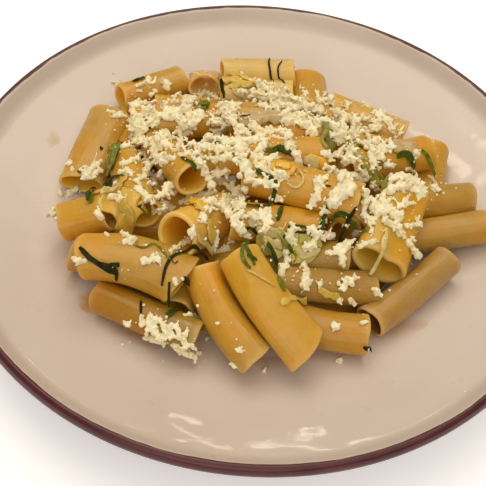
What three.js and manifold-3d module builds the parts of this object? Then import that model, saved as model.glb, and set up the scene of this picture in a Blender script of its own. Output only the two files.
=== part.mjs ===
// A wide, shallow pasta bowl heaped with rigatoni, grated feta, basil strips and squash.
// Millimetres, +Z up, origin under the middle of the foot ring. The pasta, the crumbs that are
// stuck to it and the hidden core are one solid. The larger toppings lie on it as pieces of their own.

import * as THREE from 'three';
import { mergeVertices } from 'three/addons/utils/BufferGeometryUtils.js';
import Module from 'manifold-3d';

// ---------- driving dimensions ----------

const rimRadius = 150;          // outermost edge of the rolled lip
const rimHeight = 36;           // crest of the lip
const footRadius = 75;          // outer edge of the foot ring
const footWidth = 5;
const footHeight = 3;
const wellFloor = 8;            // top of the plate at its middle
const plateSegments = 56;

const wall = 1.7;               // pasta wall, cooked
const tubeSides = 8;
const equalArea = Math.sqrt(2 * Math.PI / tubeSides / Math.sin(2 * Math.PI / tubeSides));
const tubeSpans = 2;
const boreDepth = 22;           // how deep a mouth that shows is left open
const contact = 0.93;           // soft tubes press together to this share of their radii
const settleSteps = 60;

const plateGap = 1.2;           // least air under a tube that lies on the plate
const clearance = 0.45;         // air between a loose topping and what it lies on
const crumbSize = 5.4;          // mean width of the crumbs that are modelled
const cell = 0.8;               // grid on which the top of the heap is measured
const heapReach = 130;          // half width of that grid

// inside of the plate, from the middle out: radius and height
const bowl = [[0, wellFloor], [80, 8.5], [110, 14], [141, 27], [146.6, rimHeight]];

// the core that the pasta lies on, from its top down: radius and height
const core = [[12, 33], [30, 31], [48, 26], [62, 19.5], [72, 12.5], [76, 9.4]];
const coreTop = [[0, 33], ...core, [77, 0]];

// ---------- where the pasta lies ----------

// Tubes that show: first end x, y, z, heading and rise in degrees, length, width, height,
// roll in degrees, and how far the middle bows sideways and up.
const shownTubes = [
  [-26, -52, 33, -53, -16, 50, 18, 17, 0, 3, 0],
  [-6, -50, 41, -46, -23, 51, 24, 13, -10, 3, 2],
  [53, -73, 19, 161, -2, 50, 19, 17, 0, -4, 0],
  [-77, -50, 28, -13, 4, 48, 23, 17, 0, -3, 2],
  [-34, -66, 20, 76, 6, 46, 16, 15, 0, 0, 0],
  [-70, -62, 20, -23, 0, 50, 17, 16, 0, 0, 0],
  [-87, -42, 20, -8, 0, 46, 17, 16, 0, 0, 0],
  [-71, -23, 33, 187, -20, 24, 20, 18, 0, 0, 0],
  [-91, 5, 19, 83, 1, 52, 24, 14, 0, 0, 1],
  [-80, 66, 24, 33, 0, 39, 18, 17, 0, 0, 0],
  [-34, 78, 27, 95, -24, 19, 18, 17, 0, 0, 0],
  [-24, 84, 32, 5, 0, 40, 19, 18, 0, 0, 0],
  [-24, 66, 33, 8, -2, 40, 17, 16, 0, 0, 0],
  [24, 94, 25, -83, 9, 46, 22, 15, 0, 0, 0],
  [75, 55, 23, 160, 5, 46, 18, 17, 0, 0, 0],
  [80, 42, 20, 175, 9, 46, 16, 15, 0, 0, 0],
  [62, -5, 32, 18, -9, 50, 18, 17, 0, 0, 0],
  [72, -17, 21, 12, 4, 44, 17, 16, 0, 0, 0],
  [54, -65, 19, 43, 3, 54, 16, 15, 0, 1, 0],
  [58, -42, 31, 72, 12, 44, 28, 15, -38, 0, 0],
  [46, -20, 43, 163, 3, 55, 22, 18, 0, 0, 1],
  [42, -24, 34, 108, -24, 46, 18, 17, 0, 0, 0],
  [-32, -8, 43, 122, -20, 46, 18, 17, 0, 0, 0],
  [-37, -45, 40, 56, -30, 42, 22, 21, 0, 0, 0],
  [-54, -26, 35, 112, -8, 46, 18, 17, 0, 0, 0],
  [-12, -31, 42, 2, -6, 42, 18, 16, 0, 0, 0],
  [44, -42, 31, 183, -6, 46, 16, 15, 0, 0, 0],
  [56, -50, 22, 190, 0, 48, 16, 15, 0, 0, 0],
];

// Tubes that fill the heap between and behind them, in the same terms.
const fillTubes = [
  [-70, 38, 27, 10, 4, 48, 18, 17, 0, 0, 0],
  [-14, 24, 42, 8, 0, 50, 19, 17, 0, 0, 1],
  [-18, 44, 37, 2, 0, 36, 18, 17, 0, 0, 0],
  [-20, 6, 44, 6, 0, 52, 20, 17, 0, 0, 1],
  [44, 14, 37, 22, -8, 48, 18, 17, 0, 0, 0],
  [-60, 60, 23, 4, 2, 46, 18, 17, 0, 0, 0],
  [-74, 20, 18, 70, 0, 38, 18, 17, 0, 0, 0],
  [88, 10, 19, 84, 0, 34, 18, 17, 0, 0, 0],
  [-20, 90, 19, 4, 0, 36, 18, 17, 0, 0, 0],
  [-34, 20, 18, 80, 0, 40, 18, 17, 0, 0, 0],
  [-58, 0, 18, 60, 0, 44, 18, 17, 0, 0, 0],
  [-10, 38, 18, 5, 0, 46, 18, 17, 0, 0, 0],
  [-12, 4, 22, 40, 0, 44, 18, 17, 0, 0, 0],
  [44, -10, 17, 60, 0, 44, 18, 17, 0, 0, 0],
  [-78, -22, 18, 8, 0, 44, 18, 17, 0, 0, 0],
  [-6, -54, 17, 50, 0, 42, 18, 17, 0, 0, 0],
  [22, -38, 17, 10, 0, 44, 18, 17, 0, 0, 0],
];

// ---------- where the toppings lie ----------

// drifts of grated feta: middle x, y, half widths, number of crumbs
const crumbDrifts = [
  [-47, 35, 24, 22, 10],
  [-54, -1, 11, 15, 5],
  [-8, 9, 26, 17, 10],
  [15, 47, 20, 24, 10],
  [52, 44, 19, 18, 7],
  [60, -4, 13, 24, 8],
  [-18, -22, 9, 15, 4],
  [16, -44, 23, 7, 5],
  [-36, -80, 13, 7, 5],
];

// crumbs that lie alone: x, y
const loneCrumbs = [
  [-59, -42], [-47, -53], [37, -76], [-5, -88], [78, -30], [27, -59], [42, -58], [39, -66],
];

// chunks of feta: route over the heap, width, thickness
const fetaChunks = [
  [[[-13, 7], [-10, -2], [-6, -12]], 8, 6],
  [[[42, -12], [40, -17], [37, -23]], 9, 5],
];

// soft pieces of squash
const squashPieces = [
  [[[-77, -12], [-67, -22], [-57, -32]], 15, 1.8],
  [[[-33, -24], [-27, -25], [-21, -29]], 8, 1.6],
  [[[3, -9], [9, -8], [16, -10]], 8, 1.8],
  [[[42, 18], [50, 25], [57, 15]], 5.5, 2.2],
  [[[48, 6], [57, 8], [66, 6]], 5.5, 2.2],
  [[[-13, 27], [-2, 30], [10, 32]], 9, 3],
  [[[0, -40], [14, -41], [29, -43]], 9, 1.8],
  [[[65, 23], [71, 25], [78, 23]], 9, 1.8],
  [[[-25, 67], [-14, 70], [-3, 68]], 8, 2],
  [[[22, 3], [27, 4], [33, 1]], 6, 1.8],
  [[[31, 29], [33, 24], [35, 18]], 6, 2.2],
];

// strips of basil
const basilStrips = [
  [[[-79, -53], [-74, -58], [-67, -62], [-61, -64]], 3.4, 0.8],
  [[[-40, -69], [-38, -58], [-31, -50], [-21, -50]], 2.6, 0.8],
  [[[-55, -51], [-50, -52], [-45, -49], [-37, -58]], 1.8, 0.8],
  [[[-37, -78], [-35, -75], [-32, -71]], 3.6, 0.8],
  [[[-74, 20], [-73, 10], [-74, 1]], 4.5, 0.8],
  [[[-82, -9], [-81, -17], [-79, -25]], 5, 0.8],
  [[[-36, 58], [-32, 52], [-31, 44]], 6, 0.8],
  [[[-39, 1], [-35, -3], [-31, -7]], 3, 0.8],
  [[[1, -13], [7, -17], [4, -26], [-6, -28]], 3.4, 0.8],
  [[[11, -25], [10, -29], [9, -34]], 3.4, 0.8],
  [[[1, 92], [1, 84], [4, 71]], 2.4, 0.8],
  [[[-12, 33], [-4, 38], [8, 42]], 2, 0.8],
  [[[4, 6], [9, 8], [15, 6]], 3.5, 0.8],
  [[[68, 18], [73, 20], [78, 17]], 3.5, 0.8],
  [[[34, -29], [39, -29], [45, -32]], 3, 0.8],
  [[[-3, -40], [-6, -49], [0, -61]], 3, 0.8],
  [[[5, -52], [8, -56], [10, -61]], 3, 0.8],
  [[[37, -42], [41, -39], [47, -37]], 2.5, 0.8],
  [[[8, 89], [6, 81], [10, 71]], 2, 0.8],
  [[[81, 25], [85, 23], [90, 19]], 3, 0.8],
  [[[30, -30], [29, -34], [28, -39]], 3.2, 0.8],
  [[[14, -36], [19, -35], [25, -35]], 1.8, 0.8],
  [[[11, -62], [12, -65], [14, -69]], 3.4, 0.8],
  [[[-78, -2], [-72, -4], [-65, -7]], 1.8, 0.8],
  [[[-74, 72], [-71, 74], [-68, 77]], 3.5, 0.8],
];

// ---------- small helpers ----------

let seed = 71;

function random(low, high) {
  seed = (seed * 48271) % 2147483647;
  return low + (high - low) * seed / 2147483647;
}

function heightAlong(profile, r) {
  for (let i = 1; i < profile.length; i++) {
    const [r0, z0] = profile[i - 1];
    const [r1, z1] = profile[i];
    if (r <= r1) return z0 + (z1 - z0) * Math.max(0, r - r0) / (r1 - r0);
  }
  return profile[profile.length - 1][1];
}

const plateTop = (x, y) => heightAlong(bowl, Math.hypot(x, y));

function meshGeometry(points, triangles) {
  const geometry = new THREE.BufferGeometry();
  geometry.setAttribute('position', new THREE.Float32BufferAttribute(points, 3));
  geometry.setIndex(triangles);
  return geometry;
}

// A closed skin over a row of rings with equal numbers of points, each turning right-handed
// about the way that the row goes.
function loft(rings) {
  const n = rings[0].length;
  const last = (rings.length - 1) * n;
  const triangles = [];
  for (let k = 0; k < last; k += n) {
    for (let i = 0; i < n; i++) {
      const j = (i + 1) % n;
      triangles.push(k + i, k + j, k + n + j, k + i, k + n + j, k + n + i);
    }
  }
  for (let i = 1; i < n - 1; i++) {
    triangles.push(0, i + 1, i, last, last + i, last + i + 1);
  }
  return meshGeometry(rings.flat().flatMap((p) => [p.x, p.y, p.z]), triangles);
}

// ---------- solids: joining and cutting ----------

const wasm = await Module();
wasm.setup();

function toSolid(geometry) {
  const bare = geometry.clone();
  bare.deleteAttribute('normal');
  bare.deleteAttribute('uv');
  const merged = mergeVertices(bare, 1e-4);
  const vertProperties = new Float32Array(merged.attributes.position.array);
  const triVerts = new Uint32Array(merged.index.array);
  return new wasm.Manifold(new wasm.Mesh({ numProp: 3, vertProperties, triVerts }));
}

// Of a joined solid, the skin of its largest body: sealed hollows are filled and loose scraps dropped.
function outerSkin(solid) {
  const { vertProperties, triVerts } = solid.getMesh();
  const parent = Array.from({ length: vertProperties.length / 3 }, (_, i) => i);
  const root = (i) => {
    while (parent[i] !== i) {
      parent[i] = parent[parent[i]];
      i = parent[i];
    }
    return i;
  };
  for (let t = 0; t < triVerts.length; t += 3) {
    parent[root(triVerts[t])] = root(triVerts[t + 1]);
    parent[root(triVerts[t + 1])] = root(triVerts[t + 2]);
  }
  const bodies = new Map();
  for (let t = 0; t < triVerts.length; t += 3) {
    const key = root(triVerts[t]);
    if (!bodies.has(key)) bodies.set(key, []);
    bodies.get(key).push(...triVerts.subarray(t, t + 3));
  }
  const largest = [...bodies.values()].reduce((a, b) => (b.length > a.length ? b : a));
  return meshGeometry(Array.from(vertProperties), largest);
}

// ---------- the plate ----------

function plateGeometry() {
  const footInner = footRadius - footWidth;
  const profile = [
    [0, footHeight], [footInner - 1, footHeight], [footInner, 0],
    [footRadius, 0], [footRadius + 1.8, footHeight],
    [110, 8.8], [142.4, 22], [146.6, 28.6], [rimRadius - 0.4, 31], [rimRadius, 33],
    [rimRadius - 1.4, rimHeight - 0.6], [146.6, rimHeight], [145.2, rimHeight - 1.6],
    [141, 27], [110, 14], [80, 8.5], [0, wellFloor],
  ];
  const geometry = new THREE.LatheGeometry(profile.map(([r, z]) => new THREE.Vector2(r, z)), plateSegments);
  return geometry.rotateX(Math.PI / 2);
}

// ---------- the pasta ----------

function makeTube(row, shown) {
  const [x, y, z, heading, rise, length, width, height, roll, bowSide, bowUp] = row;
  const h = THREE.MathUtils.degToRad(heading);
  const e = THREE.MathUtils.degToRad(rise);
  const a = new THREE.Vector3(x, y, z);
  const along = new THREE.Vector3(Math.cos(e) * Math.cos(h), Math.cos(e) * Math.sin(h), Math.sin(e));
  const b = a.clone().addScaledVector(along, length);
  return {
    a, b, shown, length, width, height, bowSide, bowUp,
    wantA: a.clone(),
    wantB: b.clone(),
    roll: THREE.MathUtils.degToRad(roll),
    radius: (width + height) / 4,
  };
}

// the share of a tube's length at each end that its flat cut leaves out of the contact
const cutShare = (tube) => 0.7 * tube.radius / tube.length;

// shares of the way along two tubes at which their middle lines come closest
function closest(p, q) {
  const [cutP, cutQ] = [cutShare(p), cutShare(q)];
  const startP = p.a.clone().lerp(p.b, cutP);
  const startQ = q.a.clone().lerp(q.b, cutQ);
  const d1 = q.b.clone().lerp(q.a, cutQ).sub(startQ);
  const d0 = p.b.clone().lerp(p.a, cutP).sub(startP);
  const r = startP.clone().sub(startQ);
  const a = d0.dot(d0);
  const e = d1.dot(d1);
  const f = d1.dot(r);
  const c = d0.dot(r);
  const b = d0.dot(d1);
  const den = a * e - b * b;
  let s = den > 1e-9 ? Math.min(Math.max((b * f - c * e) / den, 0), 1) : 0.5;
  let t = (b * s + f) / e;
  if (t < 0) {
    t = 0;
    s = Math.min(Math.max(-c / a, 0), 1);
  } else if (t > 1) {
    t = 1;
    s = Math.min(Math.max((b - c) / a, 0), 1);
  }
  return [cutP + s * (1 - 2 * cutP), cutQ + t * (1 - 2 * cutQ)];
}

// Two tubes that overlap push each other apart; the ones that show give way less.
function pushApart(p, q) {
  const [s, t] = closest(p, q);
  const gap = p.a.clone().lerp(p.b, s).sub(q.a.clone().lerp(q.b, t));
  const distance = gap.length();
  const need = (p.radius + q.radius) * contact;
  if (distance >= need || distance < 1e-6) return;
  const yieldP = p.shown ? 0.12 : 1;
  const yieldQ = q.shown ? 0.12 : 1;
  const push = 0.8 * (need - distance) / distance / (yieldP + yieldQ);
  p.a.addScaledVector(gap, push * yieldP * (1 - s));
  p.b.addScaledVector(gap, push * yieldP * s);
  q.a.addScaledVector(gap, -push * yieldQ * (1 - t));
  q.b.addScaledVector(gap, -push * yieldQ * t);
}

// Each tube drifts back to where it was wanted, keeps its length and stays above the plate.
function holdTube(tube) {
  const pull = tube.shown ? 0.06 : 0.01;
  tube.a.lerp(tube.wantA, pull);
  tube.b.lerp(tube.wantB, pull);
  const middle = tube.a.clone().lerp(tube.b, 0.5);
  const along = tube.b.clone().sub(tube.a).normalize();
  tube.a.copy(middle).addScaledVector(along, -tube.length / 2);
  tube.b.copy(middle).addScaledVector(along, tube.length / 2);
  for (const end of [tube.a, tube.b]) {
    end.z = Math.max(end.z, plateTop(end.x, end.y) + tube.height / 2 + plateGap);
  }
}

function settle(tubes) {
  for (let step = 0; step < settleSteps; step++) {
    for (let i = 0; i < tubes.length; i++) {
      for (let j = 0; j < i; j++) pushApart(tubes[i], tubes[j]);
    }
    tubes.forEach(holdTube);
  }
  return tubes;
}

// a ring of the tube at share s of its length, with its walls drawn in by inset
function tubeRing(tube, s, inset) {
  const vertical = new THREE.Vector3(0, 0, 1);
  const chord = tube.b.clone().sub(tube.a).normalize();
  const chordSide = chord.clone().cross(vertical).normalize();
  const chordUp = chordSide.clone().cross(chord);
  const bow = chordSide.multiplyScalar(tube.bowSide).addScaledVector(chordUp, tube.bowUp);
  const centre = tube.a.clone().lerp(tube.b, s).addScaledVector(bow, 4 * s * (1 - s));
  const along = chord.addScaledVector(bow, 4 * (1 - 2 * s) / tube.length).normalize();
  const side = along.clone().cross(vertical).normalize();
  const up = side.clone().cross(along);
  const wide = side.clone().multiplyScalar(Math.cos(tube.roll)).addScaledVector(up, Math.sin(tube.roll));
  const tall = up.clone().multiplyScalar(Math.cos(tube.roll)).addScaledVector(side, -Math.sin(tube.roll));
  return Array.from({ length: tubeSides }, (_, i) => {
    const angle = -2 * Math.PI * i / tubeSides;
    return centre.clone()
      .addScaledVector(wide, equalArea * (tube.width / 2 - inset) * Math.cos(angle))
      .addScaledVector(tall, equalArea * (tube.height / 2 - inset) * Math.sin(angle));
  });
}

function tubeBody(tube) {
  const spans = tube.shown && (tube.bowSide || tube.bowUp) ? tubeSpans : 1;
  const rings = [];
  for (let k = 0; k <= spans; k++) rings.push(tubeRing(tube, k / spans, 0));
  return toSolid(loft(rings));
}

// whether the end of a tube is clear of the core and of the other tubes
function endShows(tube, end, tubes) {
  if (end.z < heightAlong(coreTop, Math.hypot(end.x, end.y)) + 2) return false;
  return tubes.every((other) => {
    if (other === tube) return true;
    const nearest = new THREE.Line3(other.a, other.b).closestPointToPoint(end, true, new THREE.Vector3());
    return nearest.distanceTo(end) > 0.8 * other.radius;
  });
}

function tubeBore(tube, fromFirstEnd) {
  const reach = boreDepth / tube.length;
  const overshoot = 0.6 / tube.length;
  const [low, high] = fromFirstEnd ? [-overshoot, reach] : [1 - reach, 1 + overshoot];
  return toSolid(loft([tubeRing(tube, low, wall), tubeRing(tube, high, wall)]));
}

function coreSolid() {
  const rings = core.toReversed().map(([r, z]) => Array.from({ length: 24 }, (_, i) => {
    const angle = 2 * Math.PI * i / 24;
    return new THREE.Vector3(r * Math.cos(angle), r * Math.sin(angle), z);
  }));
  return toSolid(loft(rings));
}

// ---------- the top of what lies on the plate, as heights on a grid ----------

const cells = Math.ceil(2 * heapReach / cell);
const tops = new Float32Array(cells * cells);

function raiseTops(geometry) {
  const { position } = geometry.attributes;
  const index = geometry.index.array;
  const p = [new THREE.Vector3(), new THREE.Vector3(), new THREE.Vector3()];
  const toCell = (v) => Math.min(cells - 1, Math.max(0, Math.floor((v + heapReach) / cell)));
  for (let t = 0; t < index.length; t += 3) {
    for (let k = 0; k < 3; k++) p[k].fromBufferAttribute(position, index[t + k]);
    const span = Math.max(p[0].distanceTo(p[1]), p[1].distanceTo(p[2]), p[2].distanceTo(p[0]));
    const parts = Math.max(1, Math.ceil(span / (0.7 * cell)));
    for (let i = 0; i <= parts; i++) {
      for (let j = 0; j <= parts - i; j++) {
        const u = i / parts;
        const v = j / parts;
        const x = p[0].x + (p[1].x - p[0].x) * u + (p[2].x - p[0].x) * v;
        const y = p[0].y + (p[1].y - p[0].y) * u + (p[2].y - p[0].y) * v;
        const z = p[0].z + (p[1].z - p[0].z) * u + (p[2].z - p[0].z) * v;
        const at = toCell(y) * cells + toCell(x);
        tops[at] = Math.max(tops[at], z);
      }
    }
  }
}

// highest point of the heap, or else of the plate, within a circle
function topWithin(x, y, radius) {
  let top = plateTop(x, y) + 0.3;
  const steps = Math.ceil(radius / cell);
  const column = Math.floor((x + heapReach) / cell);
  const row = Math.floor((y + heapReach) / cell);
  for (let i = -steps; i <= steps; i++) {
    for (let j = -steps; j <= steps; j++) {
      if (Math.hypot(i, j) * cell > radius + cell) continue;
      top = Math.max(top, tops[(row + j) * cells + column + i] ?? 0);
    }
  }
  return top;
}

// ---------- feta crumbs, stuck to the pasta ----------

function crumbSolid(x, y) {
  const size = crumbSize * random(0.75, 1.3);
  const z = topWithin(x, y, 0.4) + 0.12 * size;
  if (z - size / 2 < plateTop(x, y) + 0.6) return null;
  const geometry = new THREE.OctahedronGeometry(size / 2, 0);
  geometry.scale(random(0.8, 1.35), random(0.8, 1.2), random(0.7, 0.95));
  geometry.rotateX(random(-0.5, 0.5)).rotateZ(random(0, Math.PI));
  return toSolid(geometry.translate(x, y, z));
}

function crumbPlaces() {
  const places = [...loneCrumbs];
  for (const [x, y, halfX, halfY, count] of crumbDrifts) {
    for (let i = 0; i < count; i++) {
      const angle = i * 2.4 + random(-0.3, 0.3);
      const out = Math.sqrt((i + 0.5) / count);
      places.push([x + halfX * out * Math.cos(angle), y + halfY * out * Math.sin(angle)]);
    }
  }
  return places;
}

function heapGeometry() {
  const shown = shownTubes.map((row) => makeTube(row, true));
  const tubes = settle([...shown, ...fillTubes.map((row) => makeTube(row, false))]);
  let heap = coreSolid();
  for (const tube of tubes) {
    const middle = tube.a.clone().lerp(tube.b, 0.5);
    const buried = middle.z < heightAlong(coreTop, Math.hypot(middle.x, middle.y));
    if (tube.shown || !buried) heap = heap.add(tubeBody(tube));
  }
  for (const tube of tubes) {
    if (endShows(tube, tube.a, tubes)) heap = heap.subtract(tubeBore(tube, true));
    if (endShows(tube, tube.b, tubes)) heap = heap.subtract(tubeBore(tube, false));
  }
  raiseTops(outerSkin(heap));
  for (const [x, y] of crumbPlaces()) {
    const crumb = crumbSolid(x, y);
    if (crumb) heap = heap.add(crumb);
  }
  return outerSkin(heap);
}

// ---------- pieces that lie loose on the heap ----------

// A soft sheet laid along a route over the heap: it sinks to what is under it, bridges dips that are
// steeper than its own stiffness allows, and has both faces split alike.
function laidGeometry(route, width, thickness) {
  const curve = new THREE.CatmullRomCurve3(route.map(([x, y]) => new THREE.Vector3(x, y, 0)));
  const length = curve.getLength();
  const spans = Math.max(3, Math.round(length / 3.6));
  const across = Math.max(1, Math.round(width / 7));
  const reach = Math.hypot(length / spans, width / across) / 2 + 0.3;
  const steepest = 1.3 * length / spans;
  const rows = [];
  for (let k = 0; k <= spans; k++) {
    const share = k / spans;
    const middle = curve.getPointAt(share);
    const along = curve.getTangentAt(share);
    const half = width / 2 * (0.5 + 0.5 * Math.sin(Math.PI * Math.min(0.97, Math.max(0.03, share))) ** 0.5);
    rows.push(Array.from({ length: across + 1 }, (_, i) => {
      const off = half * (2 * i / across - 1);
      const x = middle.x - along.y * off;
      const y = middle.y + along.x * off;
      return new THREE.Vector3(x, y, topWithin(x, y, reach) + clearance);
    }));
  }
  for (let k = 1; k <= spans; k++) {
    rows[k].forEach((p, i) => { p.z = Math.max(p.z, rows[k - 1][i].z - steepest); });
  }
  for (let k = spans - 1; k >= 0; k--) {
    rows[k].forEach((p, i) => { p.z = Math.max(p.z, rows[k + 1][i].z - steepest); });
  }
  return sheetGeometry(rows, thickness);
}

function sheetGeometry(rows, thickness) {
  const lower = rows.flat();
  const points = lower.flatMap((p) => [p.x, p.y, p.z]);
  const upper = lower.flatMap((p) => [p.x, p.y, p.z + thickness]);
  const n = rows[0].length;
  const top = lower.length;
  const triangles = [];
  for (let k = 0; k < rows.length - 1; k++) {
    for (let i = 0; i < n - 1; i++) {
      const a = k * n + i;
      const [b, c, d] = [a + n, a + n + 1, a + 1];
      triangles.push(a, c, b, a, d, c);
      triangles.push(top + a, top + b, top + c, top + a, top + c, top + d);
    }
  }
  const edge = [];
  for (let i = 0; i < n - 1; i++) edge.push(i);
  for (let k = 0; k < rows.length - 1; k++) edge.push(k * n + n - 1);
  for (let i = n - 1; i > 0; i--) edge.push((rows.length - 1) * n + i);
  for (let k = rows.length - 1; k > 0; k--) edge.push(k * n);
  edge.forEach((a, i) => {
    const b = edge[(i + 1) % edge.length];
    triangles.push(a, top + b, b, a, top + a, top + b);
  });
  return meshGeometry([...points, ...upper], triangles);
}

// ---------- the whole dish ----------

const group = new THREE.Group();

function addPiece(name, geometry, colour, roughness) {
  const material = new THREE.MeshStandardMaterial({ color: colour, roughness, metalness: 0 });
  const mesh = new THREE.Mesh(geometry, material);
  mesh.name = name;
  group.add(mesh);
}

function addLaidPieces(stem, pieces, colour, roughness) {
  pieces.forEach(([route, width, thickness], i) => {
    const geometry = laidGeometry(route, width, thickness);
    raiseTops(geometry);
    addPiece(`${stem}_${String(i + 1).padStart(2, '0')}`, geometry, colour, roughness);
  });
}

const heap = heapGeometry();
raiseTops(heap);
addPiece('plate', plateGeometry(), '#d2c0ab', 0.2);
addPiece('rigatoni_heap', heap, '#cf9a50', 0.4);
addLaidPieces('feta_chunk', fetaChunks, '#ece0bd', 0.8);
addLaidPieces('squash', squashPieces, '#c9a23c', 0.4);
addLaidPieces('basil', basilStrips, '#35411c', 0.6);

export default group;
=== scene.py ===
# %% [markdown]
# # A plate of rigatoni with feta and basil
#
# A wide, shallow pasta bowl holds a heap of rigatoni. Grated feta has fallen over it like snow, with
# strips of basil and soft scraps of squash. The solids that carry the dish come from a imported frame.
# This lesson dresses them: it lays real, hollow pasta where the solid heap stands, drops feta on it
# crumb by crumb, and gives every surface a finish made of nodes.

import math

import bpy
import numpy as np
from mathutils import Matrix, Vector
from mathutils.bvhtree import BVHTree


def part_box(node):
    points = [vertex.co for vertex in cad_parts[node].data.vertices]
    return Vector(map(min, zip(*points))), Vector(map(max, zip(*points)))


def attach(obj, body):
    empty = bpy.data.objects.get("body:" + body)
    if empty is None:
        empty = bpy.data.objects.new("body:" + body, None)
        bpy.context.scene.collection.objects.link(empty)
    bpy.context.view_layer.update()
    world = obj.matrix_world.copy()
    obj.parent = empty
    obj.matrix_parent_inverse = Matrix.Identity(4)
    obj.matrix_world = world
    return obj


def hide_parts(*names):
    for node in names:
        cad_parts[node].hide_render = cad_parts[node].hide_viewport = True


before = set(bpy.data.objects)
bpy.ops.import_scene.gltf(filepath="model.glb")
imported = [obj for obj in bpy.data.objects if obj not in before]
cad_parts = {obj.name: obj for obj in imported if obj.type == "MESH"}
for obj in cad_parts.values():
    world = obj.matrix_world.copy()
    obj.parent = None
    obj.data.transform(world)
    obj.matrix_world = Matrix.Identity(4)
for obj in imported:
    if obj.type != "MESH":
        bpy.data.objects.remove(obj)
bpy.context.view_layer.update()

MM = 0.001
plate_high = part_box("plate")[1]
rim_radius, rim_height = plate_high.x / MM, plate_high.z / MM
print("rim", round(rim_radius, 1), "mm in radius,", round(rim_height, 1), "mm high")

# %% [markdown]
# ## The camera
#
# The dish is seen from the front edge of the table, looking down at 51 degrees, with the camera held a
# little askew. Its place was solved from the ellipse of the rim, so it is written down as measured
# rather than found by aiming at the middle.

# %% Camera
CAMERA_PLACE = (-0.0059, -0.2720, 0.3258)
CAMERA_DOWN = 51.2
CAMERA_ROLL = 4.4
CAMERA_LENS = 59.3


def make_camera():
    down, roll = math.radians(CAMERA_DOWN), math.radians(CAMERA_ROLL)
    ahead = Vector((0, math.cos(down), -math.sin(down)))
    right = Vector((1, 0, 0))
    below = ahead.cross(right)
    tilted_right = right * math.cos(roll) - below * math.sin(roll)
    tilted_below = right * math.sin(roll) + below * math.cos(roll)
    camera = bpy.data.objects.new("camera", bpy.data.cameras.new("camera"))
    camera.data.lens = CAMERA_LENS
    camera.data.sensor_width = 36
    turn = Matrix((tilted_right, -tilted_below, -ahead)).transposed()
    camera.matrix_world = Matrix.Translation(CAMERA_PLACE) @ turn.to_4x4()
    bpy.context.scene.collection.objects.link(camera)
    bpy.context.scene.camera = camera
    return camera


camera = make_camera()
print("camera", [round(v, 3) for v in camera.matrix_world.translation])

# %% [markdown]
# Places on the heap can be read off the picture, which is 486 pixels wide and high. A ray from the
# camera through a pixel finds the spot.

# %% Rays through pixels
PICTURE = 486
PIXEL = 0.52  # millimetres on the heap


def pixel_ray(px, py):
    """Where the camera is, in millimetres, and the direction in which it sees a pixel."""
    focal = PICTURE * CAMERA_LENS / 36
    seen = Vector(((px - PICTURE / 2) / focal, (PICTURE / 2 - py) / focal, -1))
    start = np.array(camera.matrix_world.translation) / MM
    return start, np.array((camera.matrix_world.to_3x3() @ seen).normalized())


# %% [markdown]
# ## Light
#
# The light of the picture comes from high behind the dish: the back of the heap is bright, its front
# lies in soft shade, and the glaze mirrors what stands behind. One lamp with a hard edge would copy
# the highlights but not the soft shade, so the work is shared. Two broad lamps, one high behind and
# one overhead, light the food. A weak, cooler one in front opens the shade. Three very weak ones stand
# low behind the dish only for the glaze to mirror, and one small lamp puts sparks on wet edges.

# %% Light
WARM, COOL = (1.0, 0.90, 0.76), (1.0, 0.95, 0.92)
# name, place, aim, width and height of the lamp, power, colour
LAMPS = [
    ("key", (-0.10, 0.42, 1.05), (0, 0, 0.02), (1.2, 0.9), 6.6, WARM),
    ("overhead", (0.15, -0.45, 1.10), (0, 0, 0), (1.4, 1.2), 4.9, WARM),
    ("front_fill", (-0.20, -0.95, 0.60), (0, 0, 0.02), (1.0, 0.6), 2.2, COOL),
    ("lamp_glint", (0.02, 0.545, 0.262), (-0.051, -0.105, 0.017), (0.030, 0.010), 0.026, WARM),
    ("strip_glint", (-0.085, 0.521, 0.37), (-0.0507, -0.1053, 0.0171), (0.008, 0.05), 0.045, WARM),
    ("window_glint", (0.03, 0.50, 0.37), (0.078, -0.09, 0.018), (0.12, 0.12), 0.014, WARM),
    ("small_lamp", (-0.05, 0.36, 0.56), (0, 0, 0.03), (0.05, 0.05), 0.12, WARM),
]
ROOM_LIGHT, ROOM_STRENGTH = (1.0, 0.91, 0.80, 1), 0.30


def hang_lamp(name, place, aim, size, power, colour):
    light = bpy.data.lights.new(name, "AREA")
    light.shape = "RECTANGLE"
    light.size, light.size_y = size
    light.energy = power
    light.color = colour
    lamp = bpy.data.objects.new(name, light)
    lamp.location = place
    lamp.rotation_euler = (Vector(aim) - Vector(place)).to_track_quat("-Z", "Y").to_euler()
    bpy.context.scene.collection.objects.link(lamp)


def light_room():
    world = bpy.data.worlds.new("studio")
    world.use_nodes = True
    backdrop = world.node_tree.nodes["Background"]
    backdrop.inputs["Color"].default_value = ROOM_LIGHT
    backdrop.inputs["Strength"].default_value = ROOM_STRENGTH
    bpy.context.scene.world = world
    bpy.context.scene.view_settings.view_transform = "Standard"


for lamp_row in LAMPS:
    hang_lamp(*lamp_row)
light_room()
print(len(LAMPS), "lamps")

# %% [markdown]
# ## Helpers for nodes and meshes
#
# Every finish below is a small node tree, so one helper adds a node and fills its sockets, and short
# ones on top of it name what a finish needs: noise, a colour ramp, a mix, a bump. Another turns points
# and faces into an object and stores values on the points that the finishes read.

# %% Helpers for nodes and meshes


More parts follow.
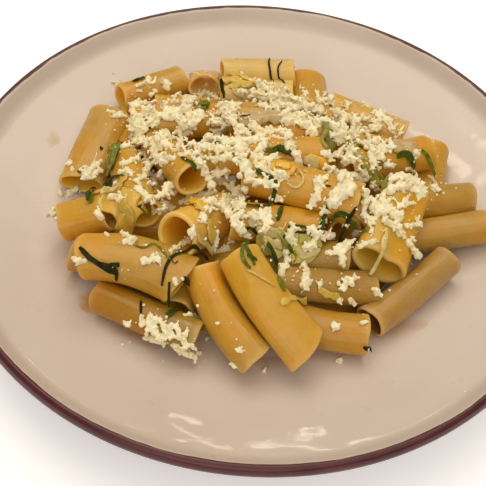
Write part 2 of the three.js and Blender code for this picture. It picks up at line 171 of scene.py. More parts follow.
class Finish:
    """A material and short ways to add nodes to it."""

    def __init__(self, name):
        self.material = bpy.data.materials.new(name)
        self.material.use_nodes = True
        self.tree = self.material.node_tree
        self.shader = self.tree.nodes["Principled BSDF"]

    def plug(self, socket, value):
        if isinstance(value, bpy.types.NodeSocket):
            self.tree.links.new(value, socket)
        else:
            socket.default_value = value

    def set(self, **sockets):
        """Fill the shader's own sockets."""
        for key, value in sockets.items():
            self.plug(self.shader.inputs[key.replace("_", " ")], value)

    def add(self, kind, sockets=(), **settings):
        """A new node with its settings made and its sockets filled."""
        made = self.tree.nodes.new("ShaderNode" + kind)
        for key, value in settings.items():
            setattr(made, key, value)
        for key, value in dict(sockets).items():
            self.plug(made.inputs[key], value)
        return made

    def noise(self, scale, detail=3.0, rough=0.5):
        place = self.add("TexCoord").outputs["Object"]
        sockets = {"Vector": place, "Scale": scale, "Detail": detail, "Roughness": rough}
        return self.add("TexNoise", sockets).outputs["Fac"]

    def ramp(self, value, *stops):
        made = self.add("ValToRGB", {"Fac": value})
        elements = made.color_ramp.elements
        while len(elements) < len(stops):
            elements.new(0.5)
        for element, (at, colour) in zip(elements, stops):
            element.position = at
            element.color = (*colour, 1)
        return made.outputs["Color"]

    def mix(self, share, a, b, blend="MIX"):
        a, b = (v if isinstance(v, bpy.types.NodeSocket) else (*v, 1) for v in (a, b))
        return self.add("Mix", {0: share, 6: a, 7: b}, data_type="RGBA", blend_type=blend).outputs[2]

    def sums(self, operation, *values):
        return self.add("Math", enumerate(values), operation=operation).outputs[0]

    def span(self, value, low, high, to_low, to_high):
        return self.add("MapRange", enumerate((value, low, high, to_low, to_high))).outputs[0]

    def stored(self, name, out="Color"):
        return self.add("Attribute", attribute_name=name).outputs[out]

    def bump(self, height, strength, distance):
        return self.add("Bump", {"Height": height, "Strength": strength, "Distance": distance}).outputs[0]

    def tell(self):
        print("finish", self.material.name, "has", len(self.tree.nodes), "nodes")


def make_object(name, points, faces, finish, colours=None, values=None):
    """points in millimetres; colours and values hold one entry for each point."""
    mesh = bpy.data.meshes.new(name)
    mesh.from_pydata((np.asarray(points) * MM).tolist(), [], [list(f) for f in faces])
    mesh.polygons.foreach_set("use_smooth", [True] * len(mesh.polygons))
    for key, data in (colours or {}).items():
        layer = mesh.attributes.new(key, "FLOAT_COLOR", "POINT")
        layer.data.foreach_set("color", np.c_[data, np.ones(len(data))].astype(np.float32).ravel())
    for key, data in (values or {}).items():
        layer = mesh.attributes.new(key, "FLOAT", "POINT")
        layer.data.foreach_set("value", np.asarray(data, np.float32))
    mesh.materials.append(finish.material)
    mesh.validate()
    made = bpy.data.objects.new(name, mesh)
    bpy.context.scene.collection.objects.link(made)
    return made


def triangles_of(made):
    return sum(len(p.vertices) - 2 for p in made.data.polygons)


# %% [markdown]
# ## The floor
#
# A plain pale sheet. It glows a little of its own, so that it stays near white round the plate without
# stronger lamps, which would burn out the cheese.

# %% Floor
FLOOR_HALF, FLOOR_TOP = 3000, -0.2
floor_finish = Finish("pale_floor")
floor_finish.set(Base_Color=(0.92, 0.92, 0.92, 1), Roughness=0.8)
floor_finish.set(Emission_Color=(1, 1, 1, 1), Emission_Strength=0.35)
floor_corners = [(x * FLOOR_HALF, y * FLOOR_HALF, FLOOR_TOP) for x, y in ((-1, -1), (1, -1), (1, 1), (-1, 1))]
floor = make_object("floor", floor_corners, [(0, 1, 2, 3)], floor_finish)
print("floor", 2 * FLOOR_HALF * MM, "m wide")

# %% [markdown]
# ## The plate
#
# A stoneware bowl is thrown round, so its form is one outline turned about the axis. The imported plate
# has few sides and sharp corners. Here the same outline is turned in fine steps with every corner
# rounded, as glaze rounds it. Two glazes meet at the crest of the lip: cream inside, maroon outside.

# %% Plate outline
FOOT_OUT, FOOT_IN, UNDERSIDE_HEIGHT = 75.0, 70.0, 3
CREST = (146.6, rim_height)
# radius, height, and how far from the corner its rounding starts: the underside, the lip, the inside
PLATE_CORNERS = [
    (0, UNDERSIDE_HEIGHT, 0), (FOOT_IN - 1, UNDERSIDE_HEIGHT, 0.5), (FOOT_IN, 0.0, 0.6), (FOOT_OUT, 0.0, 0.6),
    (FOOT_OUT + 1.8, UNDERSIDE_HEIGHT, 1.2), (110, 8.8, 12), (142.4, 22, 4), (146.6, 28.6, 1.5),
    (rim_radius - 0.4, 31, 1.0), (rim_radius, 33, 1.0), (rim_radius - 1.4, rim_height - 0.6, 0.9),
    (*CREST, 0.9), (145.2, rim_height - 1.6, 0.9), (141, 27, 3.5), (110, 14, 14), (80, 8.5, 14), (0, 8, 0),
]
ROUNDING_STEPS = 7
LONGEST_STEP = 6.0
MOST_REACH = 0.48  # of the side between two corners


def rounded_outline(corners):
    """The outline with each corner swapped for a short curve that starts and ends its reach away."""
    places = [np.array(corner[:2], float) for corner in corners]
    points = places[:1]
    for before, corner, after, (_, _, reach) in zip(places, places[1:], places[2:], corners[1:]):
        for t in np.linspace(0, 1, ROUNDING_STEPS):
            start = corner + (before - corner) * min(reach / np.linalg.norm(before - corner), MOST_REACH)
            end = corner + (after - corner) * min(reach / np.linalg.norm(after - corner), MOST_REACH)
            points.append((1 - t) ** 2 * start + 2 * t * (1 - t) * corner + t * t * end)
    return np.array(points + places[-1:])


def denser(points, longest):
    """The same line with no stretch longer than that."""
    out = [points[0]]
    for a, b in zip(points, points[1:]):
        parts = max(1, math.ceil(np.linalg.norm(b - a) / longest))
        out += [a + (b - a) * k / parts for k in range(1, parts + 1)]
    return np.array(out)


outline = denser(rounded_outline(PLATE_CORNERS), LONGEST_STEP)
print("plate outline has", len(outline), "points")

# %% [markdown]
# The glaze line is stored on the mesh as the distance along the outline from the crest, so that the
# finish can let it wander a little instead of cutting it with a knife. Just inside the crest a thin band
# of lighter cream is painted on: a painted highlight along the lip. Faint iron specks and a slow drift
# of tone keep the cream from looking like paint, and a long low ripple bends what the glaze mirrors.

# %% Plate finish
GLAZE_LINE, GLAZE_BLUR, CREST_HIGHLIGHT_LINE = 0.45, 0.95, 1.1  # millimetres past the crest
CREAM = ((0.32, (0.63, 0.53, 0.45)), (0.5, (0.655, 0.56, 0.485)), (0.68, (0.675, 0.585, 0.52)))
MAROON = ((0.3, (0.055, 0.004, 0.008)), (0.75, (0.095, 0.014, 0.018)))
# the lighter cream of the band just inside the crest is a painted highlight
SPECK, CREST_HIGHLIGHT_CREAM = (0.42, 0.29, 0.18), (0.88, 0.74, 0.60)


def make_plate_glaze():
    glaze = Finish("two_glazes")
    wander = glaze.span(glaze.noise(70, 2), 0.3, 0.7, -0.35, 0.35)
    edge = glaze.sums("ADD", glaze.stored("past_crest", "Fac"), wander)
    maroon_share = glaze.span(edge, GLAZE_LINE, GLAZE_BLUR, 1, 0)
    from_crest_highlight = glaze.sums("ABSOLUTE", glaze.sums("ADD", edge, -CREST_HIGHLIGHT_LINE))
    specks = glaze.span(glaze.noise(900, 1, 0.3), 0.72, 0.80, 0, 0.16)
    cream = glaze.mix(specks, glaze.ramp(glaze.noise(9, 4, 0.6), *CREAM), SPECK)
    # painted highlight: the cream turns lighter in a thin band just inside the crest
    cream = glaze.mix(glaze.span(from_crest_highlight, 0, 0.8, 0.6, 0), cream, CREST_HIGHLIGHT_CREAM)
    maroon = glaze.ramp(glaze.noise(60, 3), *MAROON)
    ripple = glaze.bump(glaze.noise(55, 1.5, 0.4), 0.30, 0.0012)
    glaze.set(Base_Color=glaze.mix(maroon_share, cream, maroon))
    glaze.set(Roughness=glaze.span(glaze.noise(40, 3), 0.3, 0.7, 0.26, 0.36))
    glaze.set(Coat_Weight=0.22, Coat_Roughness=0.05, IOR=1.42)
    glaze.set(Normal=ripple, Coat_Normal=ripple)
    return glaze


plate_glaze = make_plate_glaze()
plate_glaze.tell()

# %% Turn the plate
PLATE_TURNS = 176


def band(first, second, turns):
    """Faces between two rings of points that start at those numbers."""
    return [(first + i, first + (i + 1) % turns, second + (i + 1) % turns, second + i) for i in range(turns)]


def turned(line, turns):
    """Points and faces of a closed outline turned about the axis, whose two ends lie on the axis."""
    angles = np.arange(turns) * 2 * np.pi / turns
    inner = line[1:-1]
    rings = [np.c_[r * np.cos(angles), r * np.sin(angles), np.full(turns, z)] for r, z in inner]
    points = np.vstack([np.array([[0, 0, line[0][1]], [0, 0, line[-1][1]]])] + rings)
    faces = []
    for k in range(len(inner) - 1):
        faces += band(2 + k * turns, 2 + (k + 1) * turns, turns)
    last = 2 + (len(inner) - 1) * turns
    faces += [(0, 2 + (i + 1) % turns, 2 + i) for i in range(turns)]
    faces += [(1, last + i, last + (i + 1) % turns) for i in range(turns)]
    return points, faces


def past_the_crest():
    """For each point of the turned plate, how far along the outline it lies past the crest."""
    along = np.r_[0, np.cumsum(np.linalg.norm(np.diff(outline, axis=0), axis=1))]
    past = along - along[np.argmin(np.linalg.norm(outline - np.array(CREST), axis=1))]
    return np.r_[past[0], past[-1], np.repeat(past[1:-1], PLATE_TURNS)]


plate_skin = turned(outline, PLATE_TURNS)
plate = make_object("plate_glazed", *plate_skin, plate_glaze, values={"past_crest": past_the_crest()})
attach(plate, "root")
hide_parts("plate")
print("plate", triangles_of(plate), "triangles")

# %% [markdown]
# ## Where the pasta lies
#
# The tubes that show are placed one by one, as the dish has them. Each row gives the first
# end, the heading and rise in degrees, the length, the width and height of the squashed section, a
# roll, and how far the middle bows sideways and up. More tubes fill the heap between and behind them.
# These are the rows of the imported heap, so the pasta lies where that solid stands. Tubes that get a
# shape or dye of their own later are named by their number here.

# %% Tube rows
SHOWN_TUBES = [
    (-26, -52, 33, -53, -16, 50, 18, 17, 0, 3, 0),
    (-6, -50, 41, -46, -23, 51, 24, 13, -10, 3, 2),
    (53, -73, 19, 161, -2, 50, 19, 17, 0, -4, 0),
    (-77, -50, 28, -13, 4, 48, 23, 17, 0, -3, 2),
    (-34, -66, 20, 76, 6, 46, 16, 15, 0, 0, 0),
    (-70, -62, 20, -23, 0, 50, 17, 16, 0, 0, 0),
    (-87, -42, 20, -8, 0, 46, 17, 16, 0, 0, 0),
    (-71, -23, 33, 187, -20, 24, 20, 18, 0, 0, 0),
    (-91, 5, 19, 83, 1, 52, 24, 14, 0, 0, 1),
    (-80, 66, 24, 33, 0, 39, 18, 17, 0, 0, 0),
    (-34, 78, 27, 95, -24, 19, 18, 17, 0, 0, 0),
    (-24, 84, 32, 5, 0, 40, 19, 18, 0, 0, 0),
    (-24, 66, 33, 8, -2, 40, 17, 16, 0, 0, 0),
    (24, 94, 25, -83, 9, 46, 22, 15, 0, 0, 0),
    (75, 55, 23, 160, 5, 46, 18, 17, 0, 0, 0),
    (80, 42, 20, 175, 9, 46, 16, 15, 0, 0, 0),
    (62, -5, 32, 18, -9, 50, 18, 17, 0, 0, 0),
    (72, -17, 21, 12, 4, 44, 17, 16, 0, 0, 0),
    (54, -65, 19, 43, 3, 54, 16, 15, 0, 1, 0),
    (58, -42, 31, 72, 12, 44, 28, 15, -38, 0, 0),
    (46, -20, 43, 163, 3, 55, 22, 18, 0, 0, 1),
    (42, -24, 34, 108, -24, 46, 18, 17, 0, 0, 0),
    (-32, -8, 43, 122, -20, 46, 18, 17, 0, 0, 0),
    (-37, -45, 40, 56, -30, 42, 22, 21, 0, 0, 0),
    (-54, -26, 35, 112, -8, 46, 18, 17, 0, 0, 0),
    (-12, -31, 42, 2, -6, 42, 18, 16, 0, 0, 0),
    (44, -42, 31, 183, -6, 46, 16, 15, 0, 0, 0),
    (56, -50, 22, 190, 0, 48, 16, 15, 0, 0, 0),
]
FILL_TUBES = [
    (-70, 38, 27, 10, 4, 48, 18, 17, 0, 0, 0),
    (-14, 24, 42, 8, 0, 50, 19, 17, 0, 0, 1),
    (-18, 44, 37, 2, 0, 36, 18, 17, 0, 0, 0),
    (-20, 6, 44, 6, 0, 52, 20, 17, 0, 0, 1),
    (44, 14, 37, 22, -8, 48, 18, 17, 0, 0, 0),
    (-60, 60, 23, 4, 2, 46, 18, 17, 0, 0, 0),
    (-74, 20, 18, 70, 0, 38, 18, 17, 0, 0, 0),
    (88, 10, 19, 84, 0, 34, 18, 17, 0, 0, 0),
    (-20, 90, 19, 4, 0, 36, 18, 17, 0, 0, 0),
    (-34, 20, 18, 80, 0, 40, 18, 17, 0, 0, 0),
    (-58, 0, 18, 60, 0, 44, 18, 17, 0, 0, 0),
    (-10, 38, 18, 5, 0, 46, 18, 17, 0, 0, 0),
    (-12, 4, 22, 40, 0, 44, 18, 17, 0, 0, 0),
    (44, -10, 17, 60, 0, 44, 18, 17, 0, 0, 0),
    (-78, -22, 18, 8, 0, 44, 18, 17, 0, 0, 0),
    (-6, -54, 17, 50, 0, 42, 18, 17, 0, 0, 0),
    (22, -38, 17, 10, 0, 44, 18, 17, 0, 0, 0),
]
FRONT_LEFT, FRONT_WIDE, FRONT_RIGHT, LEFT_WIDE = 0, 1, 2, 3
UNDER_LEFT, LOW_FRONT, LEFT_LOWEST, LEFT_BACK = 4, 5, 6, 8
BACK_RIGHT, BEHIND_RIGHT, RIGHT_HIGH, RIGHT_END, RIGHT_LOW = 14, 15, 16, 17, 18
BACK_STUB, BACK_PALE, BACK_PALE_LOW, PINCHED, BIG_MOUTH = 10, 11, 12, 19, 23
SHADED_RIGHT, SHADED_LOW = 26, 27
print(len(SHOWN_TUBES), "tubes show and", len(FILL_TUBES), "fill the heap")

# %% [markdown]
# ## Settling the pasta
#
# Tubes placed as listed run into each other. A few rounds of pushing sort that out: two tubes that are
# too close are moved apart along the line between them, then each drifts back towards where it was
# wanted and is lifted clear of the plate. The tubes that show yield least, so the picture keeps its
# likeness. A rigid-body simulation would also work, but it can't be told where a tube has to end up.

# %% Settle
SETTLE_STEPS = 60
CONTACT, PUSH = 0.93, 0.8  # soft tubes touch a little closer than round; share of the overlap mended at once
PLATE_GAP = 1.2
bowl_r, bowl_z = (0, 80, 110, 141, 146.6), (8, 8.5, 14, 27, 36)


def bowl_top(x, y):
    return float(np.interp(math.hypot(x, y), bowl_r, bowl_z))


def unit(v):
    return v / np.linalg.norm(v)


class Tube:
    """One row as a stick with two ends, and how readily it gives way and is pulled back."""

    def __init__(self, row, shown):
        x, y, z, heading, rise, self.length, self.width, self.height, roll, self.bow_side, self.bow_up = row
        h, e = math.radians(heading), math.radians(rise)
        self.a = np.array((x, y, z), float)
        self.b = self.a + self.length * np.array(
            (math.cos(e) * math.cos(h), math.cos(e) * math.sin(h), math.sin(e)))
        self.want_a, self.want_b = self.a.copy(), self.b.copy()
        self.roll = math.radians(roll)
        self.radius = (self.width + self.height) / 4
        self.cut = 0.7 * self.radius / self.length
        self.gives = 0.12 if shown else 1.0
        self.pull = 0.06 if shown else 0.01


def closest(p, q):
    """Shares of the way along two tubes at which their middle lines come closest."""
    start_p, start_q = p.a + (p.b - p.a) * p.cut, q.a + (q.b - q.a) * q.cut
    d0, d1 = (p.b - p.a) * (1 - 2 * p.cut), (q.b - q.a) * (1 - 2 * q.cut)
    r = start_p - start_q
    a, e, f, c, b = d0 @ d0, d1 @ d1, d1 @ r, d0 @ r, d0 @ d1
    den = a * e - b * b
    s = min(max((b * f - c * e) / den, 0), 1) if den > 1e-9 else 0.5
    t = (b * s + f) / e
    if t < 0:
        t, s = 0, min(max(-c / a, 0), 1)
    elif t > 1:
        t, s = 1, min(max((b - c) / a, 0), 1)
    return p.cut + s * (1 - 2 * p.cut), q.cut + t * (1 - 2 * q.cut)


def push_apart(p, q):
    if np.linalg.norm((p.a + p.b - q.a - q.b) / 2) > (p.length + q.length) / 2 + p.radius + q.radius:
        return
    s, t = closest(p, q)
    gap = p.a + (p.b - p.a) * s - q.a - (q.b - q.a) * t
    distance = np.linalg.norm(gap)
    need = (p.radius + q.radius) * CONTACT
    if distance >= need or distance < 1e-6:
        return
    push = PUSH * (need - distance) / distance / (p.gives + q.gives) * gap
    p.a += push * p.gives * (1 - s)
    p.b += push * p.gives * s
    q.a -= push * q.gives * (1 - t)
    q.b -= push * q.gives * t


def hold(tube):
    tube.a += (tube.want_a - tube.a) * tube.pull
    tube.b += (tube.want_b - tube.b) * tube.pull
    middle, along = (tube.a + tube.b) / 2, unit(tube.b - tube.a)
    tube.a, tube.b = middle - along * tube.length / 2, middle + along * tube.length / 2
    for end in (tube.a, tube.b):
        end[2] = max(end[2], bowl_top(end[0], end[1]) + tube.height / 2 + PLATE_GAP)


def settle(tubes):
    for _ in range(SETTLE_STEPS):
        for i, tube in enumerate(tubes):
            for other in tubes[:i]:
                push_apart(tube, other)
        for tube in tubes:
            hold(tube)
    return tubes


tubes = settle([Tube(r, True) for r in SHOWN_TUBES] + [Tube(r, False) for r in FILL_TUBES])
farthest = max(np.linalg.norm(t.a - t.want_a) for t in tubes)
print(len(tubes), "tubes; the farthest moved", round(farthest, 1), "mm")

# %% [markdown]
# ## The pasta's finish
#
# Cooked pasta is a dense, milky gel: light enters, turns golden and comes out a little way off. That
# is subsurface scattering. A thin film of oil lies on it in patches, so the gloss varies. Each tube has
# its own dye, stored on its points, and the dyes differ from tube to tube. Part of the dye is painted
# light and shade: tubes that lie in shade get darker dyes, and the bores get a painted golden glow, or
# painted dark where they lie in the dark. The cut rims are paler, where the gel is thin.

# %% Pasta finish
MOTTLE = ((0.30, (0.93, 0.89, 0.82)), (0.5, (1, 1, 1)), (0.72, (1.04, 1.06, 1.12)))
DRIFT = ((0.36, (1.08, 0.97, 0.6)), (0.5, (1, 1, 1)), (0.66, (0.92, 1.02, 1.9)))
CUT_RIM = (0.86, 0.62, 0.24)


def make_pasta_finish():
    pasta = Finish("oiled_pasta")
    mottle = pasta.ramp(pasta.noise(150, 4, 0.6), *MOTTLE)
    drift = pasta.ramp(pasta.noise(32, 2), *DRIFT)
    # the stored dye holds painted shade for tubes in shade, and a painted glow or dark in the bores
    colour = pasta.mix(0.85, pasta.stored("dye"), mottle, "MULTIPLY")
    colour = pasta.mix(0.9, colour, drift, "MULTIPLY")
    rim_share = pasta.span(pasta.stored("rim", "Fac"), 0, 1, 0, 0.55)
    oil = pasta.span(pasta.noise(95, 3, 0.6), 0.42, 0.62, 0, 1)
    pasta.set(Base_Color=pasta.mix(rim_share, colour, CUT_RIM))
    pasta.set(Roughness=pasta.span(oil, 0, 1, 0.46, 0.22))
    pasta.set(Subsurface_Weight=0.7, Subsurface_Radius=(1.0, 0.55, 0.14), Subsurface_Scale=0.005)
    pasta.set(Coat_Weight=0.32, Coat_Roughness=0.08, IOR=1.34)
    pasta.set(Normal=pasta.bump(pasta.noise(380, 4, 0.6), 0.22, 0.0005))
    return pasta


pasta_finish = make_pasta_finish()
pasta_finish.tell()

# %% [markdown]
# ## Modelling one tube
#
# A tube is one closed skin: along the outside from the first end to the second, round the cut rim,
# back along the bore and round the first rim. Boiling softens it, so the section sags into an oval
# that differs along the length, the walls dent, the ends flare and the cut is never quite square. A few
# tubes have more of a story: one widens as it flattens, and one has its top folded in at the mouth. A
# sculpted tube copied 45 times would show its copies, so each is worked out from its own numbers.

# %% Shapes, dyes and painted shade of the tubes
WALL = 1.8
THICK_WALLS = {BIG_MOUTH: 2.3, PINCHED: 2.4}
# widths and heights at both ends as shares of the row's, and how far the top is folded in at both ends
TUBE_SHAPES = {
    FRONT_WIDE: (0.80, 1.0, 1.26, 1.02, 0, 0), LEFT_WIDE: (0.98, 1.16, 1.06, 0.96, 0, 0),
    PINCHED: (1.06, 0.88, 1.08, 1.0, 0.22, 0.1), FRONT_LEFT: (0.98, 1.0, 1.0, 1.0, 0, 0),
    BACK_STUB: (1.0, 1.0, 1.0, 0.3, 0, 0),
}
# how far the cut leans out at both ends, in millimetres: at the side and at the top
TUBE_CUTS = {
    FRONT_LEFT: (0, -3.2, 0.6, 2.5), FRONT_WIDE: (0, 0.5, 1.6, 1.5), LOW_FRONT: (0, 1, 0.5, 3.0),
    FRONT_RIGHT: (0.4, 0.8, 0, 0), LEFT_WIDE: (0, 1.5, -0.5, 1.5), BIG_MOUTH: (0, -0.6, 0, 0),
    PINCHED: (0, -4.0, 0, 0),
}
# GOLDEN is the common dye. The brown one, for LOW_FRONT, and the dark dyes of SHADED_RIGHT and SHADED_LOW
# below are painted shade for tubes that lie in shade.
GOLDEN, PALE, SHADE_BROWN = (0.60, 0.325, 0.026), (0.70, 0.47, 0.12), (0.31, 0.19, 0.020)
TUBE_DYES_AND_SHADE = {
    BACK_PALE: PALE, BACK_PALE_LOW: PALE, UNDER_LEFT: (0.50, 0.315, 0.045), LOW_FRONT: SHADE_BROWN,
    SHADED_RIGHT: (0.44, 0.250, 0.032), SHADED_LOW: (0.41, 0.235, 0.035), LEFT_BACK: (0.56, 0.32, 0.045),
    RIGHT_HIGH: (0.50, 0.29, 0.04), RIGHT_LOW: (0.46, 0.270, 0.060), BACK_RIGHT: (0.62, 0.40, 0.10),
    BEHIND_RIGHT: (0.60, 0.39, 0.09), RIGHT_END: (0.48, 0.285, 0.045), FRONT_RIGHT: (0.53, 0.275, 0.019),
    PINCHED: (0.68, 0.39, 0.028), BIG_MOUTH: (0.76, 0.46, 0.065), LEFT_LOWEST: (0.42, 0.25, 0.04),
}
# how the dye changes towards both ends of a tube. On LOW_FRONT it is painted shade: the orange of one
# end and the grey of the other stand in for the shade that the tube lies in.
END_TINTS = {
    LOW_FRONT: ((1.5, 1.15, 0.3), (1.1, 1.2, 1.8)), FRONT_LEFT: ((1.1, 1.1, 1.4), (0.85, 0.9, 1.2)),
    FRONT_WIDE: ((1.05, 1.05, 0.7), (1.15, 1.1, 1.2)), LEFT_WIDE: ((1.05, 1.05, 1.3), (0.85, 0.80, 0.6)),
    FRONT_RIGHT: ((1.05, 1.1, 1.6), (0.82, 0.80, 0.8)), BIG_MOUTH: ((1.0, 1.0, 1.3), (0.95, 1.0, 1.2)),
}
EVEN = ((1, 1, 1), (1, 1, 1))
# the bores are painted: a deeper, brighter yellow than the outside is a painted glow for the light
# that turns golden inside them, and the bores that lie in the dark get painted shade
BORE_GLOW = (0.92, 0.53, 0.03)
BORE_GLOW_AND_SHADE = {RIGHT_LOW: (0.16, 0.06, 0.003), BACK_STUB: (0.95, 0.60, 0.10), PINCHED: (0.66, 0.40, 0.02)}
print(len(TUBE_SHAPES), "tubes have a shape of their own,", len(TUBE_DYES_AND_SHADE), "a dye of their own")

# %% [markdown]
# The skin is a stack of rings. Each ring knows its share of the length and how deep it lies below the
# outer skin, so the outside, the rounded rims and the bore are all made by the same few lines. Fine
# ridges run along the outside, as the die leaves them.

# %% Build the tubes
SIDES, RIDGES, RIDGE = 75, 25, 0.06
OUTSIDE_RINGS, BORE_RINGS = 11, 4
ROUND = ((0.0, 0.9), (0.12, 0.5), (0.4, 0.18), (0.95, 0.0))  # how a cut rim rounds: along, below the skin
FLARE, FLARE_REACH, RIM_REACH = 0.035, 3, 1.1
SLANT_FROM, SLANT_OVER = 0.7, 0.3  # the part of each half that follows the lean of its cut


def skin_rows(length, wall):
    """Share of the length and depth below the outer skin, for each ring round the closed skin."""
    start = [(along / length, depth) for along, depth in ROUND]
    end = [(1 - share, depth) for share, depth in reversed(start)]
    outside = start + [(share, 0.0) for share in np.linspace(0.07, 0.93, OUTSIDE_RINGS)] + end
    far = [(share, wall - depth) for share, depth in end[-2::-1]]
    near = [(share, wall - depth) for share, depth in start[:0:-1]]
    return outside + far + [(share, wall) for share in np.linspace(0.86, 0.14, BORE_RINGS)] + near


def tube_frame(tube, s):
    """The middle of the tube's section there, and the section's directions: wide, tall and along."""
    up_axis = np.array((0, 0, 1.0))
    chord = unit(tube.b - tube.a)
    chord_side = unit(np.cross(chord, up_axis))
    bow = chord_side * tube.bow_side + np.cross(chord_side, chord) * tube.bow_up
    centre = tube.a + (tube.b - tube.a) * s + bow * 4 * s * (1 - s)
    along = unit(chord + bow * 4 * (1 - 2 * s) / tube.length)
    side = unit(np.cross(along, up_axis))
    up = np.cross(side, along)
    c, q = math.cos(tube.roll), math.sin(tube.roll)
    return centre, side * c + up * q, up * c - side * q, along


def tube_skin(tube, shape, cuts, wall, rng):
    width_a, width_b, height_a, height_b, fold_a, fold_b = shape
    angles = -2 * np.pi * np.arange(SIDES) / SIDES
    cos, sin = np.cos(angles), np.sin(angles)
    phase = rng.uniform(0, 2 * np.pi, 8)
    rings, rims = [], []
    for s, depth in skin_rows(tube.length, wall):
        centre, wide, tall, along = tube_frame(tube, s)
        from_end = min(s, 1 - s) * tube.length
        flare = 1 + FLARE * math.exp(-from_end / FLARE_REACH)
        # dents: an oval, a rounded triangle and finer waves that wind along the tube
        swell = 1 + 0.022 * np.sin(2 * angles + phase[0] + 2.2 * s)
        swell += 0.016 * np.sin(3 * angles + phase[1] - 4 * s)
        swell += 0.012 * np.sin(6.0 * s + phase[2]) + 0.012 * np.sin(5 * angles + 9 * s + phase[3])
        half_w = tube.width / 2 * (width_a + (width_b - width_a) * s) * flare * swell
        half_h = tube.height / 2 * (height_a + (height_b - height_a) * s) * flare * swell
        x = (half_w - depth) * np.sign(cos) * np.abs(cos) ** 0.94
        fold = (fold_a + (fold_b - fold_a) * s) * np.exp(-((x / half_w + 0.05) / 0.30) ** 2)
        y = np.where(sin > 0, half_h * (1 - fold) - depth, half_h - depth)
        y = y * np.sign(sin) * np.abs(sin) ** 0.96
        y = np.where(sin > 0, np.maximum(y, -(half_h - depth) * np.abs(sin) + 0.5), y)
        ridge = RIDGE * np.cos(RIDGES * angles) if depth == 0 else 0
        x, y = x + ridge * cos, y + ridge * sin
        end_share = 1 - s if s < 0.5 else s
        slant = max(0.0, (end_share - SLANT_FROM) / SLANT_OVER) * (1 if s > 0.5 else -1)
        lean_side, lean_top = cuts[2:] if s > 0.5 else cuts[:2]
        skew = lean_side * x / half_w + lean_top * y / half_h
        skew += 0.35 * np.sin(2 * angles + phase[5]) + 0.22 * np.sin(4 * angles + phase[6])
        rings.append(centre + np.outer(x, wide) + np.outer(y, tall) + np.outer(slant * skew, along))
        rims.append(np.full(SIDES, math.exp(-from_end / RIM_REACH)))
    return rings, rims


def ring_dyes_and_painted_light(number, rings, brightness):
    """One dye for each ring: it drifts from the first end's tint to the second's, and then the bore's painted
    glow, or painted shade for a bore in the dark.
    """
    colour = np.array(TUBE_DYES_AND_SHADE.get(number, GOLDEN)) * brightness
    start, end = (colour * np.array(tint) for tint in END_TINTS.get(number, EVEN))
    outside = 2 * len(ROUND) + OUTSIDE_RINGS
    shares = [k / outside for k in range(outside)]
    tones = [start + (end - start) * share * share * (3 - 2 * share) for share in shares]
    return tones + [BORE_GLOW_AND_SHADE.get(number, BORE_GLOW)] * (rings - outside)


def build_rigatoni():
    rng = np.random.default_rng(11)
    points, faces, dyes, rims = [], [], [], []
    for number, tube in enumerate(tubes):
        shape = TUBE_SHAPES.get(number, (*rng.uniform(0.96, 1.04, 4), 0, 0))
        cuts = TUBE_CUTS.get(number, rng.uniform(-0.9, 0.9, 4))
        rings, rim = tube_skin(tube, shape, cuts, THICK_WALLS.get(number, WALL), rng)
        for k in range(len(rings)):
            faces += band((len(points) + k) * SIDES, (len(points) + (k + 1) % len(rings)) * SIDES, SIDES)
        dyes += [np.tile(tone, (SIDES, 1)) for tone in ring_dyes_and_painted_light(number, len(rings), rng.uniform(0.94, 1.06))]
        points += rings
        rims += rim
    return make_object(
        "rigatoni", np.vstack(points), faces, pasta_finish, colours={"dye": np.vstack(dyes)},
        values={"rim": np.concatenate(rims)})


rigatoni = build_rigatoni()
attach(rigatoni, "root")
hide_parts("rigatoni_heap")
print("rigatoni", triangles_of(rigatoni), "triangles")

# %% [markdown]
# ## The core of the heap
#
# What lies deep between the tubes is hardly seen: pasta, oil and starch in brown shade. One lumpy
# mound stands for it, a little lower than the tubes that rest on it. Its brown runs from the tubes'
# golden dye down to a darker brown, partly oil and partly painted shade, and it scatters less, so the
# gaps look dark and wet.

# %% Core
# the darker brown is partly oil and partly painted shade for the gaps between the tubes
CORE_BROWN_AND_SHADE = ((0.3, (0.38, 0.18, 0.004)), (0.7, (0.62, 0.34, 0.012)))
CORE_RADIUS, CORE_RINGS, CORE_TURNS, CORE_BASE = 76, 40, 120, 8.9
CORE_SUNK = 1.8  # how far the skin lies below the profile, so that the lumps reach it
LUMPS, LUMP_HEIGHT, LUMP_LIMIT = 60, 1.6, 2.5
core_r, core_z = (0, 12, 30, 48, 62, 72, CORE_RADIUS), (33, 33, 31, 26, 19.5, 12.5, 9.4)


def make_core_finish():
    oily = Finish("oily_core_and_shade")
    oily.set(Base_Color=oily.ramp(oily.noise(120, 4), *CORE_BROWN_AND_SHADE))
    oily.set(Roughness=0.32, Coat_Weight=0.15, Coat_Roughness=0.2, IOR=1.3)
    oily.set(Subsurface_Weight=0.3, Subsurface_Radius=(1.0, 0.45, 0.12), Subsurface_Scale=0.003)
    oily.set(Normal=oily.bump(oily.noise(260, 3), 0.4, 0.001))
    return oily


def outer_band(first, turns):
    """Faces between the ring of points that starts at that number and the next one out."""
    after = first + turns
    return [(first + i, after + i, after + (i + 1) % turns, first + (i + 1) % turns) for i in range(turns)]


def core_height(x, y, r, bumps):
    lump = sum(
        LUMP_HEIGHT * math.exp(-((x - q * math.cos(p)) ** 2 + (y - q * math.sin(p)) ** 2) / w ** 2)
        for p, q, w in bumps)
    return np.interp(r, core_r, core_z) - CORE_SUNK + min(lump, LUMP_LIMIT) * (1 - (r / CORE_RADIUS) ** 4)


